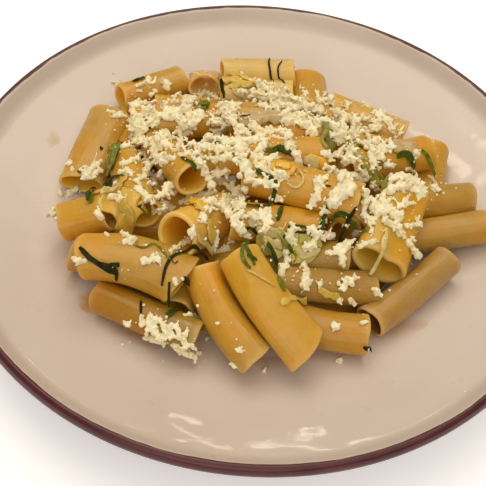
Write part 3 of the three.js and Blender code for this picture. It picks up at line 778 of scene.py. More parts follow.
def build_core():
    rng = np.random.default_rng(5)
    bumps = [(rng.uniform(0, 2 * np.pi), rng.uniform(0, 70), rng.uniform(5, 9)) for _ in range(LUMPS)]
    angles = np.arange(CORE_TURNS) * 2 * np.pi / CORE_TURNS
    points = [(0, 0, core_z[0] - 1.5), (0, 0, CORE_BASE)]
    for r in np.linspace(1.5, CORE_RADIUS, CORE_RINGS):
        for angle in angles:
            x, y = r * math.cos(angle), r * math.sin(angle)
            points.append((x, y, core_height(x, y, r, bumps)))
    faces = [(0, 2 + i, 2 + (i + 1) % CORE_TURNS) for i in range(CORE_TURNS)]
    for k in range(CORE_RINGS - 1):
        faces += outer_band(2 + k * CORE_TURNS, CORE_TURNS)
    last = 2 + (CORE_RINGS - 1) * CORE_TURNS
    faces += [(1, last + (i + 1) % CORE_TURNS, last + i) for i in range(CORE_TURNS)]
    return make_object("heap_core", points, faces, make_core_finish())


core = build_core()
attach(core, "root")
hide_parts("rigatoni_heap")
print("core", triangles_of(core), "triangles")

# %% [markdown]
# ## The top of the heap
#
# Toppings lie on what is under them. A grid of heights, half a millimetre fine, remembers the top of
# the dish: rays are shot down on the pasta once, and each topping that is laid raises the grid, so
# that the next one lies on it.

# %% Height grid
CELL = 0.5
REACH = 152.0
HEAP_REACH, ABOVE = 120, 90  # beyond this radius lies only the plate; the rays start this high


def skin_of(*objects):
    points, faces = [], []
    for one in objects:
        faces += [[len(points) + v for v in p.vertices] for p in one.data.polygons]
        points += [v.co / MM for v in one.data.vertices]
    return BVHTree.FromPolygons(points, faces)


def measure_tops(skin):
    count = int(2 * REACH / CELL)
    tops = np.zeros((count, count))
    middle = (np.arange(count) + 0.5) * CELL - REACH
    for row, y in enumerate(middle):
        for column, x in enumerate(middle):
            if x * x + y * y > HEAP_REACH ** 2:
                tops[row, column] = bowl_top(x, y)
                continue
            hit = skin.ray_cast(Vector((x, y, ABOVE)), Vector((0, 0, -1)))[0]
            tops[row, column] = hit.z if hit else bowl_top(x, y)
    return tops


tops = measure_tops(skin_of(rigatoni, core, plate))
print("the pasta's top is", round(float(tops.max()), 1), "mm above the table")

# %% [markdown]
# Two small helpers read and write the grid: how high a ball comes to rest, and how it raises the
# cells that it covers.

# %% Rest on the grid


def footprint(x, y, radius):
    """The grid's rows and columns near a point, and how high a ball's skin stands over each cell."""
    c0, c1 = int((x - radius + REACH) / CELL), int((x + radius + REACH) / CELL) + 1
    r0, r1 = int((y - radius + REACH) / CELL), int((y + radius + REACH) / CELL) + 1
    dx = (np.arange(c0, c1) + 0.5) * CELL - REACH - x
    dy = (np.arange(r0, r1) + 0.5) * CELL - REACH - y
    under = radius ** 2 - dx[None, :] ** 2 - dy[:, None] ** 2
    return slice(r0, r1), slice(c0, c1), np.sqrt(np.maximum(under, 0)), under > 0


def rest_height(x, y, radius, sink=0.4):
    """Height of the middle of a soft ball that comes to rest at x, y."""
    rows, columns, skin, inside = footprint(x, y, radius)
    if not inside.any():
        return tops[rows, columns].max() + radius * (1 - sink)
    return float((tops[rows, columns] + skin)[inside].max()) - radius * sink


def raise_tops(x, y, z, radius):
    rows, columns, skin, inside = footprint(x, y, radius)
    tops[rows, columns] = np.where(inside, np.maximum(tops[rows, columns], z + skin), tops[rows, columns])


# %% [markdown]
# ## Strips and flaps
#
# Basil strips, squash and shreds are all thin, soft and laid along a route. One function makes them:
# it follows the route, drops each point of the sheet on the heap, bridges gaps that the strip is too
# stiff to fall into, curls it across, frays its edges and gives it two faces and an edge.

# %% Strip maker
ROUTE_STEP = 0.8
FEELER, LIFT = 0.9, 0.15  # the ball that feels for the heap, and the air left under a strip


def smooth_route(route):
    """Points every step or so along a curve through the route's points."""
    p = np.array(route, float)
    p = np.vstack([2 * p[0] - p[1], p, 2 * p[-1] - p[-2]])
    out = []
    for a, b, c, d in zip(p, p[1:], p[2:], p[3:]):
        parts = max(2, int(np.linalg.norm(c - b) / ROUTE_STEP))
        for t in np.arange(parts) / parts:
            out.append(0.5 * (2 * b + (c - a) * t + (2 * a - 5 * b + 4 * c - d) * t * t
                              + (3 * b - a - 3 * c + d) * t ** 3))
    return np.array(out + [p[-2]])


def no_steeper(rows, fall):
    """Raise rows of heights until none lies more than the fall below its neighbours."""
    for k in range(1, len(rows)):
        rows[k] = np.maximum(rows[k], rows[k - 1] - fall)
    for k in range(len(rows) - 2, -1, -1):
        rows[k] = np.maximum(rows[k], rows[k + 1] - fall)


def strip_skin(route, width, thickness, rng, curl=0.0, fray=0.0, wave=0.0, steep=1.3, across=6):
    line = smooth_route(route)
    count = len(line)
    along = np.gradient(line, axis=0)
    along /= np.linalg.norm(along, axis=1)[:, None]
    side = np.c_[-along[:, 1], along[:, 0]]
    share = np.linspace(0, 1, count)
    half = width / 2 * (0.35 + 0.65 * np.sin(np.pi * np.clip(share, 0.02, 0.98)) ** 0.35)
    knots = 3 + count // 4
    ragged = [np.interp(share, np.linspace(0, 1, knots), rng.uniform(-1, 1, knots)) for _ in (0, 1)]
    u = np.linspace(-1, 1, across + 1)
    x, y = np.zeros((2, count, across + 1))
    for k, v in enumerate(u):
        reach = half * (1 + fray * ragged[int(v > 0)] * abs(v))
        x[:, k] = line[:, 0] + side[:, 0] * reach * v
        y[:, k] = line[:, 1] + side[:, 1] * reach * v
    z = np.array([[rest_height(px, py, FEELER, 0.9) for px, py in zip(*row)] for row in zip(x, y)])
    z = z - 0.09 + LIFT
    no_steeper(z, steep * np.linalg.norm(line[1] - line[0]))
    no_steeper(z.T, steep * width / across)
    for _ in range(3):
        z[1:-1] = np.maximum(z[1:-1], (z[:-2] + 2 * z[1:-1] + z[2:]) / 4)
    z[:, 1:-1] = np.maximum(z[:, 1:-1], (z[:, :-2] + z[:, 2:]) / 2)
    # the edges curl up, and the strip waves a little along its length
    phase = rng.uniform(0, 6)
    z += curl * width * (u[None, :] ** 2)
    z += wave * (1 + np.sin(share * count * 0.45 + phase))[:, None] * (0.6 + 0.4 * u[None, :])
    thick = thickness * (0.55 + 0.45 * np.sqrt(np.maximum(0, 1 - u[None, :] ** 2))) * np.ones((count, 1))
    lower = np.stack([x, y, z], -1).reshape(-1, 3)
    upper = np.stack([x, y, z + thick], -1).reshape(-1, 3)
    for px, py, pz in upper[::2]:
        raise_tops(px, py, pz - 0.5, 0.5)
    return np.vstack([lower, upper]), strip_faces(count, across + 1)


def strip_faces(count, wide):
    """Faces of a strip: both sides, and the edge that runs round it."""
    top = count * wide
    faces = []
    for k in range(count - 1):
        for i in range(wide - 1):
            a, b, c, d = k * wide + i, (k + 1) * wide + i, (k + 1) * wide + i + 1, k * wide + i + 1
            faces += [(a, b, c, d), (top + a, top + d, top + c, top + b)]
    edge = list(range(wide - 1)) + [k * wide + wide - 1 for k in range(count - 1)]
    edge += [(count - 1) * wide + i for i in range(wide - 1, 0, -1)]
    edge += [k * wide for k in range(count - 1, 0, -1)]
    return faces + [(a, b, top + b, top + a) for a, b in zip(edge, edge[1:] + edge[:1])]


def dyed(dye, share, points):
    """The same dye, a little lighter or darker, for every point."""
    return np.tile(np.array(dye) * share, (len(points), 1))


# %% [markdown]
# ## Squash
#
# Soft pieces of yellow and green squash, cooked until they are almost clear. Each is a short, wide
# strip with a torn edge. The finish lets light through and keeps a wet gloss, and the dye runs from
# yellow through orange to olive by piece.

# %% Squash finish
SQUASH_FLESH = ((0.3, (0.72, 0.74, 0.60)), (0.7, (1.15, 1.12, 1.25)))
squash_finish = Finish("soft_squash")
flesh = squash_finish.ramp(squash_finish.noise(260, 4, 0.6), *SQUASH_FLESH)
squash_finish.set(Base_Color=squash_finish.mix(0.8, squash_finish.stored("dye"), flesh, "MULTIPLY"))
squash_finish.set(Subsurface_Weight=0.6, Subsurface_Radius=(1.0, 0.75, 0.2), Subsurface_Scale=0.003)
squash_finish.set(Roughness=0.30, Coat_Weight=0.5, Coat_Roughness=0.1, IOR=1.38)
squash_finish.set(Normal=squash_finish.bump(squash_finish.noise(500, 3, 0.6), 0.35, 0.0008))
squash_finish.tell()

# %% Lay the squash
YELLOW, ORANGE = (0.74, 0.47, 0.08), (0.86, 0.44, 0.01)
OLIVE, CLEAR = (0.30, 0.26, 0.02), (0.62, 0.44, 0.18)
# route over the heap, width, thickness, dye, how frayed
SQUASH = [
    ([(-77, -12), (-67, -22), (-57, -32)], 15, 1.8, YELLOW, 0.55),
    ([(-33, -24), (-27, -25), (-21, -29)], 8, 1.6, ORANGE, 0.6),
    ([(3, -9), (9, -8), (16, -10)], 8, 1.8, ORANGE, 0.4),
    ([(42, 18), (50, 25), (57, 15)], 5.5, 2.2, OLIVE, 0.25),
    ([(48, 6), (57, 8), (66, 6)], 5.5, 2.2, OLIVE, 0.35),
    ([(-13, 27), (-2, 30), (10, 32)], 9, 3.0, CLEAR, 0.3),
    ([(0, -40), (14, -41), (29, -43)], 9, 1.8, (0.66, 0.55, 0.13), 0.6),
    ([(65, 23), (71, 25), (78, 23)], 9, 1.8, CLEAR, 0.3),
    ([(-25, 67), (-14, 70), (-3, 68)], 8, 2.0, YELLOW, 0.5),
    ([(22, 3), (27, 4), (33, 1)], 6, 1.8, ORANGE, 0.4),
    ([(31, 29), (33, 24), (35, 18)], 6, 2.2, OLIVE, 0.3),
]


def lay_squash():
    rng = np.random.default_rng(23)
    pieces = []
    for number, (route, width, thickness, dye_of, fray) in enumerate(SQUASH, 1):
        points, faces = strip_skin(route, width, thickness, rng, fray=fray, wave=0.35, across=8)
        colours = {"dye": dyed(dye_of, rng.uniform(0.93, 1.07), points)}
        piece = make_object(f"squash_soft_{number:02d}", points, faces, squash_finish, colours=colours)
        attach(piece, "root")
        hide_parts(f"squash_{number:02d}")
        pieces.append(piece)
    print(len(SQUASH), "pieces of squash")
    return pieces


squash_pieces = lay_squash()

# %% [markdown]
# ## Basil
#
# A leaf rolled up and cut across gives long curling ribbons. Oil and heat have turned them almost black
# in places, and some show their paler underside. A ribbon lies on the pasta with its middle and lifts
# its edges. The leaf is nearly matt, so its finish has a low index and no coat: a shiny leaf this dark
# would mirror the lamps and turn grey.

# %% Basil finish
LEAF_VEINS = ((0.30, (0.55, 0.50, 0.6)), (0.48, (0.9, 0.95, 0.8)), (0.66, (1.35, 1.6, 1.0)))
basil_finish = Finish("cut_basil")
leaf = basil_finish.ramp(basil_finish.noise(420, 3, 0.6), *LEAF_VEINS)
basil_finish.set(Base_Color=basil_finish.mix(1.0, basil_finish.stored("dye"), leaf, "MULTIPLY"))
basil_finish.set(Roughness=0.6, IOR=1.2)
basil_finish.set(Subsurface_Weight=0.2, Subsurface_Radius=(0.6, 1.0, 0.1), Subsurface_Scale=0.0008)
basil_finish.set(Normal=basil_finish.bump(basil_finish.noise(800, 3, 0.6), 0.35, 0.0004))
basil_finish.tell()

# %% Lay the basil
DARK, GREEN = (0.026, 0.024, 0.004), (0.055, 0.070, 0.005)
UNDERSIDE, SPRIG = (0.15, 0.16, 0.02), (0.24, 0.22, 0.06)
LEAF = 0.3  # millimetres thick
# route over the heap, width, dye
BASIL = [
    ([(-79, -53), (-74, -58), (-67, -62), (-61, -64)], 2.2, DARK),
    ([(-40, -69), (-38, -58), (-31, -50), (-21, -50)], 1.4, DARK),
    ([(-55, -51), (-50, -52), (-45, -49), (-37, -58)], 1.0, UNDERSIDE),
    ([(-37, -78), (-35, -75), (-32, -71)], 2.8, GREEN),
    ([(-74, 20), (-73, 10), (-74, 1)], 4.0, SPRIG),
    ([(-82, -9), (-81, -17), (-79, -25)], 3.4, UNDERSIDE),
    ([(-36, 58), (-32, 52), (-31, 44)], 4.6, UNDERSIDE),
    ([(-39, 1), (-35, -3), (-31, -7)], 1.8, GREEN),
    ([(1, -13), (7, -17), (4, -26), (-6, -28)], 2.0, GREEN),
    ([(11, -25), (10, -29), (9, -34)], 2.2, GREEN),
    ([(1, 92), (1, 84), (4, 71)], 1.1, DARK),
    ([(-12, 33), (-4, 38), (8, 42)], 1.0, GREEN),
    ([(4, 6), (9, 8), (15, 6)], 3.4, GREEN),
    ([(68, 18), (73, 20), (78, 17)], 2.4, GREEN),
    ([(34, -29), (39, -29), (45, -32)], 1.8, GREEN),
    ([(-3, -40), (-6, -49), (0, -61)], 1.9, UNDERSIDE),
    ([(5, -52), (8, -56), (10, -61)], 2.0, GREEN),
    ([(37, -42), (41, -39), (47, -37)], 1.6, DARK),
    ([(8, 89), (6, 81), (10, 71)], 1.0, DARK),
    ([(81, 25), (85, 23), (90, 19)], 1.6, UNDERSIDE),
    ([(30, -30), (29, -34), (28, -39)], 2.4, GREEN),
    ([(14, -36), (19, -35), (25, -35)], 1.0, GREEN),
    ([(11, -62), (12, -65), (14, -69)], 2.4, UNDERSIDE),
    ([(-78, -2), (-72, -4), (-65, -7)], 1.0, GREEN),
    ([(-74, 72), (-71, 74), (-68, 77)], 1.8, GREEN),
]


def lay_basil():
    rng = np.random.default_rng(31)
    for number, (route, width, dye_of) in enumerate(BASIL, 1):
        curl = rng.uniform(0.15, 0.35)
        points, faces = strip_skin(route, width, LEAF, rng, curl=curl, fray=0.2, wave=0.2)
        colours = {"dye": dyed(dye_of, rng.uniform(0.85, 1.2), points)}
        piece = make_object(f"basil_ribbon_{number:02d}", points, faces, basil_finish, colours=colours)
        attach(piece, "root")
        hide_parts(f"basil_{number:02d}")
    print(len(BASIL), "ribbons of basil")


lay_basil()

# %% [markdown]
# ## Oil and painted shade
#
# An orange film lies on the plate in front of the heap: partly oil that has run out, partly painted
# shade where the heap's foot casts warm shade. A faint yellow stain marks a spot that a crumb once
# touched. Both are thin lenses with wandering outlines that follow the plate.

# %% Oil and painted shade
AMBER, STRAW = (0.70, 0.31, 0.012), (0.74, 0.60, 0.22)
# the amber films are partly oil and partly painted shade at the heap's foot; the straw ones are stains
# middle x, y, half widths, strength, dye
OIL_AND_SHADE_POOLS = [
    (-70, -62, 15, 8, 0.95, AMBER), (-48, -76, 18, 8, 0.45, AMBER), (12, -80, 30, 8, 0.42, AMBER),
    (66, -62, 20, 9, 0.35, AMBER), (-112, 37, 5, 6, 0.5, STRAW), (-92, 62, 7, 6, 0.5, STRAW),
]
POOL_TURNS, POOL_RINGS = 48, 10
FILM_EDGE, FILM_DEPTH = 0.10, 0.28


def make_oil_and_shade_film():
    film = Finish("orange_oil_and_shade")
    film.set(Base_Color=film.stored("dye"), Roughness=0.12, IOR=1.47)
    depth = film.span(film.stored("depth", "Fac"), 0, 1, 0, 0.85)
    film.set(Alpha=film.sums("MULTIPLY", depth, film.span(film.noise(130, 3), 0.3, 0.7, 0.75, 1)))
    return film


def pour_oil_and_shade():
    rng = np.random.default_rng(8)
    points, faces, depth, dyes = [], [], [], []
    for x, y, half_x, half_y, strength, dye_of in OIL_AND_SHADE_POOLS:
        waves, first = rng.uniform(0, 6.28, 4), len(points)
        for k in range(POOL_RINGS + 1):
            out = k / POOL_RINGS
            for i in range(POOL_TURNS):
                angle = 2 * math.pi * i / POOL_TURNS
                wander = 1 + 0.16 * math.sin(3 * angle + waves[0]) + 0.10 * math.sin(5 * angle + waves[1])
                edge = out * wander
                u, v = x + half_x * edge * math.cos(angle), y + half_y * edge * math.sin(angle)
                points.append((u, v, bowl_top(u, v) + FILM_EDGE + FILM_DEPTH * (1 - out ** 2)))
                depth.append(strength * (1 - out ** 2) ** 1.5)
                dyes.append(dye_of)
        for k in range(POOL_RINGS):
            faces += outer_band(first + k * POOL_TURNS, POOL_TURNS)
    # the film is partly oil and partly painted shade
    made = make_object(
        "oil", points, faces, make_oil_and_shade_film(), colours={"dye": np.array(dyes)}, values={"depth": depth})
    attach(made, "root")
    print("oil in", len(OIL_AND_SHADE_POOLS), "pools")


pour_oil_and_shade()

# %% [markdown]
# ## Small scraps
#
# Between the named pieces lie many small ones: shreds of squash, curls and flecks of leaf. They are
# read off the picture as lines of pixels with a width. The ray through each pixel finds the heap, and
# the strip maker drapes them there.

# %% Lines of pixels on the heap
FAR = 420  # millimetres, for a ray that misses
heap_skin = skin_of(rigatoni, core, plate, *squash_pieces)


def meets_heap(start, away):
    """Where a ray meets the heap or the plate, if it does."""
    return heap_skin.ray_cast(Vector(start), Vector(away))[0]


def lay_pixels(line, steep=0.7):
    """Spots on the heap behind a line of pixels, none much lower than its neighbours, and their rays."""
    rays = [pixel_ray(px, py) for px, py in line]
    hits = [np.array(meets_heap(start, away) or start + away * FAR) for start, away in rays]
    gaps = np.linalg.norm(np.diff(line, axis=0), axis=1) * PIXEL
    for order in (range(1, len(hits)), range(len(hits) - 2, -1, -1)):
        step = 1 if order.step < 0 else -1
        for k in order:
            least = hits[k + step][2] - steep * gaps[min(k, k + step)]
            if hits[k][2] < least:
                start, away = rays[k]
                hits[k] = start + away * (least - start[2]) / away[2]
    return [(hit, away) for hit, (start, away) in zip(hits, rays)]


# %% [markdown]
# Each row below is one scrap: its dye, how wide it is in pixels, and the pixels along it, across and
# down. All scraps of a kind become one piece, because there is nothing to tell them apart by hand.

# %% Scraps that show
PALE_YELLOW, GREENISH = (0.80, 0.60, 0.22), (0.50, 0.42, 0.10)
# dye, width in pixels, line of pixels
SQUASH_SCRAPS = [
    (PALE_YELLOW, 6, 255, 236, 265, 233, 275, 236, 283, 243),
    (PALE_YELLOW, 5, 262, 244, 272, 248, 282, 250), (GREENISH, 4, 278, 234, 284, 244),
    (GREENISH, 6, 299, 240, 307, 243, 304, 250), (PALE_YELLOW, 5, 298, 255, 308, 256, 320, 253),
    (GREENISH, 4, 316, 244, 320, 252), (PALE_YELLOW, 5, 263, 253, 271, 257, 277, 263),
    (OLIVE, 3, 281, 247, 290, 250, 296, 258, 293, 265), (PALE_YELLOW, 2, 286, 223, 283, 230, 278, 229),
    (ORANGE, 8, 186, 203, 195, 201, 204, 206, 211, 214), (YELLOW, 5, 195, 208, 203, 212, 210, 219),
    (YELLOW, 6, 209, 222, 212, 235, 211, 246), (PALE_YELLOW, 4, 198, 242, 206, 244, 213, 249),
    (YELLOW, 7, 119, 191, 122, 181, 128, 174), (YELLOW, 8, 120, 205, 127, 214, 132, 227),
    (PALE_YELLOW, 4, 101, 196, 110, 191, 118, 188), (GREENISH, 2, 147, 207, 152, 216, 158, 212),
    (GREENISH, 2, 153, 218, 154, 236), (OLIVE, 4, 143, 226, 149, 232),
    (YELLOW, 6, 226, 74, 236, 75, 246, 79, 256, 83), (YELLOW, 6, 229, 87, 240, 86, 252, 87),
    (PALE_YELLOW, 4, 232, 93, 244, 97), (ORANGE, 7, 275, 166, 283, 165, 291, 167),
    (PALE_YELLOW, 7, 303, 163, 311, 164, 318, 168),
    (PALE_YELLOW, 2, 287, 184, 291, 188, 298, 188, 303, 181, 301, 174, 296, 171),
    (PALE_YELLOW, 3, 278, 180, 284, 178, 290, 174), (OLIVE, 5, 326, 131, 322, 140, 327, 149),
    (OLIVE, 3, 364, 132, 367, 140), (OLIVE, 6, 362, 166, 368, 172, 378, 174, 384, 183, 386, 190),
    (OLIVE, 5, 380, 162, 384, 168), (GREENISH, 8, 353, 148, 358, 153, 361, 161),
    (PALE_YELLOW, 5, 340, 147, 350, 143, 360, 146),
    (PALE_YELLOW, 4, 386, 229, 385, 240, 382, 252, 377, 262, 370, 274),
    (YELLOW, 2, 246, 271, 256, 275, 266, 281, 275, 287),
    (YELLOW, 5, 281, 305, 290, 300, 300, 294, 308, 296), (PALE_YELLOW, 2, 300, 297, 306, 288, 312, 282),
    (YELLOW, 4, 318, 291, 328, 296, 338, 302), (GREENISH, 4, 352, 225, 358, 231),
    (PALE_YELLOW, 3, 340, 178, 346, 176), (YELLOW, 4, 148, 216, 144, 222), (CLEAR, 6, 243, 118, 250, 116),
    (CLEAR, 7, 262, 121, 272, 121, 281, 122), (CLEAR, 8, 248, 222, 256, 226, 262, 222),
]
LEAF_SCRAPS = [
    (UNDERSIDE, 6, 201, 97, 203, 104, 204, 112), (UNDERSIDE, 4, 193, 106, 200, 107, 210, 107),
    (SPRIG, 8, 117, 144, 115, 153, 112, 165, 108, 177), (DARK, 3, 118, 142, 123, 146),
    (SPRIG, 3, 108, 152, 110, 161, 106, 171), (GREEN, 1.5, 103, 184, 112, 178, 124, 178),
    (GREEN, 4, 86, 181, 88, 191, 88, 203), (UNDERSIDE, 4, 95, 185, 91, 195), (GREEN, 3, 80, 188, 86, 194),
    (DARK, 3, 100, 148, 103, 150), (DARK, 4, 98, 267, 107, 269, 114, 271, 117, 278, 116, 284),
    (DARK, 4, 112, 284, 122, 286), (DARK, 2.5, 134, 82, 139, 80), (DARK, 3, 220, 92, 224, 99),
    (DARK, 2, 299, 87, 301, 87), (UNDERSIDE, 4, 265, 148, 268, 152, 272, 155),
    (GREEN, 5, 278, 148, 283, 153, 291, 155), (DARK, 2, 243, 238, 250, 238, 257, 240),
    (UNDERSIDE, 3.5, 249, 240, 243, 246, 242, 256, 246, 265, 251, 269), (GREEN, 3, 247, 256, 257, 262),
    (GREEN, 4, 266, 253, 272, 260, 277, 268), (GREEN, 2, 283, 246, 284, 236),
    (GREEN, 3, 288, 250, 292, 255), (DARK, 1.5, 293, 234, 308, 234),
    (DARK, 3, 337, 246, 342, 240, 350, 236), (DARK, 3, 341, 242, 345, 247), (GREEN, 2, 256, 163, 258, 167),
    (SPRIG, 3, 176, 251, 179, 246, 181, 251), (GREEN, 1, 169, 258, 174, 264, 178, 261),
    (DARK, 2.5, 361, 355, 366, 354, 371, 353), (DARK, 2.5, 141, 301, 141, 314),
    (DARK, 2.5, 170, 303, 169, 313), (DARK, 4, 182, 306, 190, 301),
    (GREEN, 3, 326, 218, 323, 226, 321, 233), (GREEN, 3, 252, 172, 261, 175, 270, 180),
    (GREEN, 2, 274, 183, 277, 188), (DARK, 1.5, 240, 117, 250, 117), (GREEN, 2, 147, 129, 153, 130),
    (UNDERSIDE, 2.5, 360, 231, 367, 232), (GREEN, 2, 303, 166, 308, 167), (DARK, 1.5, 325, 186, 331, 187),
]


def lay_scraps(name, rows, finish, thickness, curl, fray, seed):
    """All scraps of one kind as one piece, each draped along the line behind its pixels."""
    rng = np.random.default_rng(seed)
    points, faces, dyes, first = [], [], [], 0
    for dye_of, width, *line in rows:
        route = [spot[:2] for spot, away in lay_pixels(np.array(line, float).reshape(-1, 2))]
        piece_points, piece_faces = strip_skin(
            route, width * PIXEL, thickness, rng, curl=curl, fray=fray, wave=0.25, steep=1.6, across=5)
        points.append(piece_points)
        faces += [[first + v for v in face] for face in piece_faces]
        dyes.append(dyed(dye_of, rng.uniform(0.85, 1.15), piece_points))
        first += len(piece_points)
    made = make_object(name, np.vstack(points), faces, finish, colours={"dye": np.vstack(dyes)})
    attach(made, "root")
    print(name, len(rows), "scraps,", triangles_of(made), "triangles")


# thickness in millimetres, share of the width by which the edges curl up, how frayed, seed
lay_scraps("squash_scraps", SQUASH_SCRAPS, squash_finish, 0.7, 0.10, 0.6, 71)
lay_scraps("leaf_scraps", LEAF_SCRAPS, basil_finish, 0.25, 0.25, 0.35, 72)

# %% [markdown]
# ## Grated feta
#
# Feta through a coarse grater falls in crooked shreds and chips that stick to each other like wet
# snow. The shreds that show are read off the picture, each as a short line with a width. A stiff shred
# bridges the gap between two tubes, so a point may lie deeper than the one before it only as far as
# the shred is steep. Angular lumps are strung along each line and welded by a voxel remesh, which
# turns thousands of small solids into one craggy skin.

# %% Feta finish
CURD = ((0.30, (0.82, 0.70, 0.42)), (0.5, (0.95, 0.87, 0.58)), (0.70, (0.99, 0.94, 0.71)))
feta_finish = Finish("feta_crumb")
feta_finish.set(Base_Color=feta_finish.ramp(feta_finish.noise(210, 4, 0.6), *CURD))
feta_finish.set(Roughness=feta_finish.span(feta_finish.noise(300, 2), 0.3, 0.7, 0.55, 0.8))
feta_finish.set(Subsurface_Weight=0.15, Subsurface_Radius=(1.0, 0.8, 0.45), Subsurface_Scale=0.001)
feta_finish.set(Normal=feta_finish.bump(feta_finish.noise(900, 4, 0.7), 0.5, 0.0006))
feta_finish.tell()

# %% Lumps
GOLD = (1 + 5 ** 0.5) / 2
lump_points = np.array([unit(np.array(p, float)) for p in (
    (-1, GOLD, 0), (1, GOLD, 0), (-1, -GOLD, 0), (1, -GOLD, 0), (0, -1, GOLD), (0, 1, GOLD),
    (0, -1, -GOLD), (0, 1, -GOLD), (GOLD, 0, -1), (GOLD, 0, 1), (-GOLD, 0, -1), (-GOLD, 0, 1))])
lump_faces = np.array((
    (0, 11, 5), (0, 5, 1), (0, 1, 7), (0, 7, 10), (0, 10, 11), (1, 5, 9), (5, 11, 4), (11, 10, 2), (10, 7, 6),
    (7, 1, 8), (3, 9, 4), (3, 4, 2), (3, 2, 6), (3, 6, 8), (3, 8, 9), (4, 9, 5), (2, 4, 11), (6, 2, 10),
    (8, 6, 7), (9, 8, 1)))
SHRED_STEP = 0.45  # of its width, from one lump of a shred to the next
SHRED_EDGE = 1.3  # pixels that a shred is wider than its bright middle
SIDE_LUMPS = 4
CRUMB_EDGE = 32  # degrees from which an edge of the welded skin stays sharp


class Crumbs:
    """Collects lumps and welds them into one piece."""

    def __init__(self, seed):
        self.rng = np.random.default_rng(seed)
        self.lumps = []

    def lump(self, place, radius):
        """A chipped little solid of twelve corners, squashed and turned at random."""
        turn = Matrix.Rotation(self.rng.uniform(0, 6.28), 3, Vector(self.rng.normal(size=3)))
        stretch = self.rng.uniform(0.6, 1.35, 3)
        points = lump_points * self.rng.uniform(0.6, 1.25, (12, 1)) * stretch * radius
        self.lumps.append(points @ np.array(turn).T + place)
        raise_tops(place[0], place[1], place[2], radius * 0.9)

    def drop(self, x, y, radius):
        self.lump(np.array((x, y, rest_height(x, y, radius, 0.45))), radius)

    def shred(self, width, line):
        """A shred along a line of pixels: big lumps in a row, each with small ones round it."""
        line = np.array(line, float).reshape(-1, 2)
        stops = [line[:1]]
        for a, b in zip(line, line[1:]):
            parts = max(1, round(np.linalg.norm(b - a) / (SHRED_STEP * width)))
            stops.append(a + (b - a) * np.arange(1, parts + 1)[:, None] / parts)
        for spot, away in lay_pixels(np.vstack(stops)):
            radius = (width + SHRED_EDGE) * PIXEL * 0.50 * self.rng.uniform(0.7, 1.2)
            middle = spot - away * radius * 0.55
            self.lump(middle, radius)
            for _ in range(SIDE_LUMPS):
                side = self.rng.normal(size=3)
                side -= away * (side @ away)
                aside = unit(side) * radius * self.rng.uniform(0.6, 1.35)
                place = middle + aside - away * radius * self.rng.uniform(-0.1, 0.5)
                self.lump(place, radius * self.rng.uniform(0.28, 0.7))

    def weld(self, name, voxel, keep=1.0):
        points = np.vstack(self.lumps)
        faces = (lump_faces[None] + 12 * np.arange(len(self.lumps))[:, None, None]).reshape(-1, 3)
        raw = make_object(name + "_raw", points, faces.tolist(), feta_finish)
        weld = raw.modifiers.new("weld", "REMESH")
        weld.mode = "VOXEL"
        weld.voxel_size = voxel * MM
        weld.use_smooth_shade = True
        if keep < 1:
            raw.modifiers.new("thin", "DECIMATE").ratio = keep
        mesh = bpy.data.meshes.new_from_object(raw.evaluated_get(bpy.context.evaluated_depsgraph_get()))
        bpy.data.objects.remove(raw)
        mesh.polygons.foreach_set("use_smooth", [True] * len(mesh.polygons))
        mesh.set_sharp_from_angle(angle=math.radians(CRUMB_EDGE))
        made = bpy.data.objects.new(name, mesh)
        bpy.context.scene.collection.objects.link(made)
        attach(made, "root")
        print(name, len(self.lumps), "lumps,", triangles_of(made), "triangles")
        return made


# %% [markdown]
# The lines below go over the heap from the back left to the front right. Each row holds a width and
# then the pixels of a line, across and down.

# %% Feta that shows
FETA_BACK_LEFT = [
    (6, 118, 83), (3, 138, 86, 143, 84), (2, 137, 91, 141, 91), (3, 147, 80, 151, 79),
    (5, 166, 82, 168, 88), (3, 152, 95, 156, 91), (3, 173, 97, 179, 93), (3, 113, 117, 120, 113, 127, 117),
    (6, 132, 107, 138, 103, 145, 104, 151, 103), (6, 133, 112, 137, 117, 145, 112, 150, 108),
    (7, 150, 118, 156, 119, 162, 115), (5, 129, 120, 134, 124, 140, 123, 147, 124),
    (5, 132, 128, 139, 130, 145, 128), (5, 139, 133, 142, 137, 146, 140),
    (5, 140, 141, 147, 144, 153, 139, 159, 136, 165, 133), (7, 166, 133, 170, 139),
    (4, 123, 147, 130, 144, 137, 140), (8, 155, 146, 162, 145, 168, 146),
    (8, 152, 151, 158, 156, 165, 158, 172, 158), (5, 158, 162, 165, 163),
    (6, 140, 152, 145, 155, 148, 161, 146, 168), (4, 121, 164, 130, 162, 137, 158),
    (6, 150, 164, 146, 172, 141, 178, 136, 181), (7, 150, 174, 157, 177, 163, 176),
    (4, 151, 180, 156, 184), (6, 85, 172, 92, 169, 97, 164), (5, 85, 177, 92, 176, 98, 171),
    (4, 119, 173, 126, 170, 131, 174), (6, 116, 185), (5, 72, 168), (7, 61, 194), (5, 53, 214, 56, 212),
    (4, 69, 194, 78, 189), (7, 165, 104, 172, 103, 180, 104, 186, 100, 193, 101),
    (8, 166, 110, 175, 111, 184, 110, 189, 107), (8, 187, 115, 193, 118, 198, 113),
    (8, 170, 116, 177, 118), (9, 181, 124, 188, 125, 195, 123), (8, 177, 132, 184, 133, 191, 131),
    (4, 181, 138, 179, 143, 177, 150), (4, 150, 124, 158, 123),
]
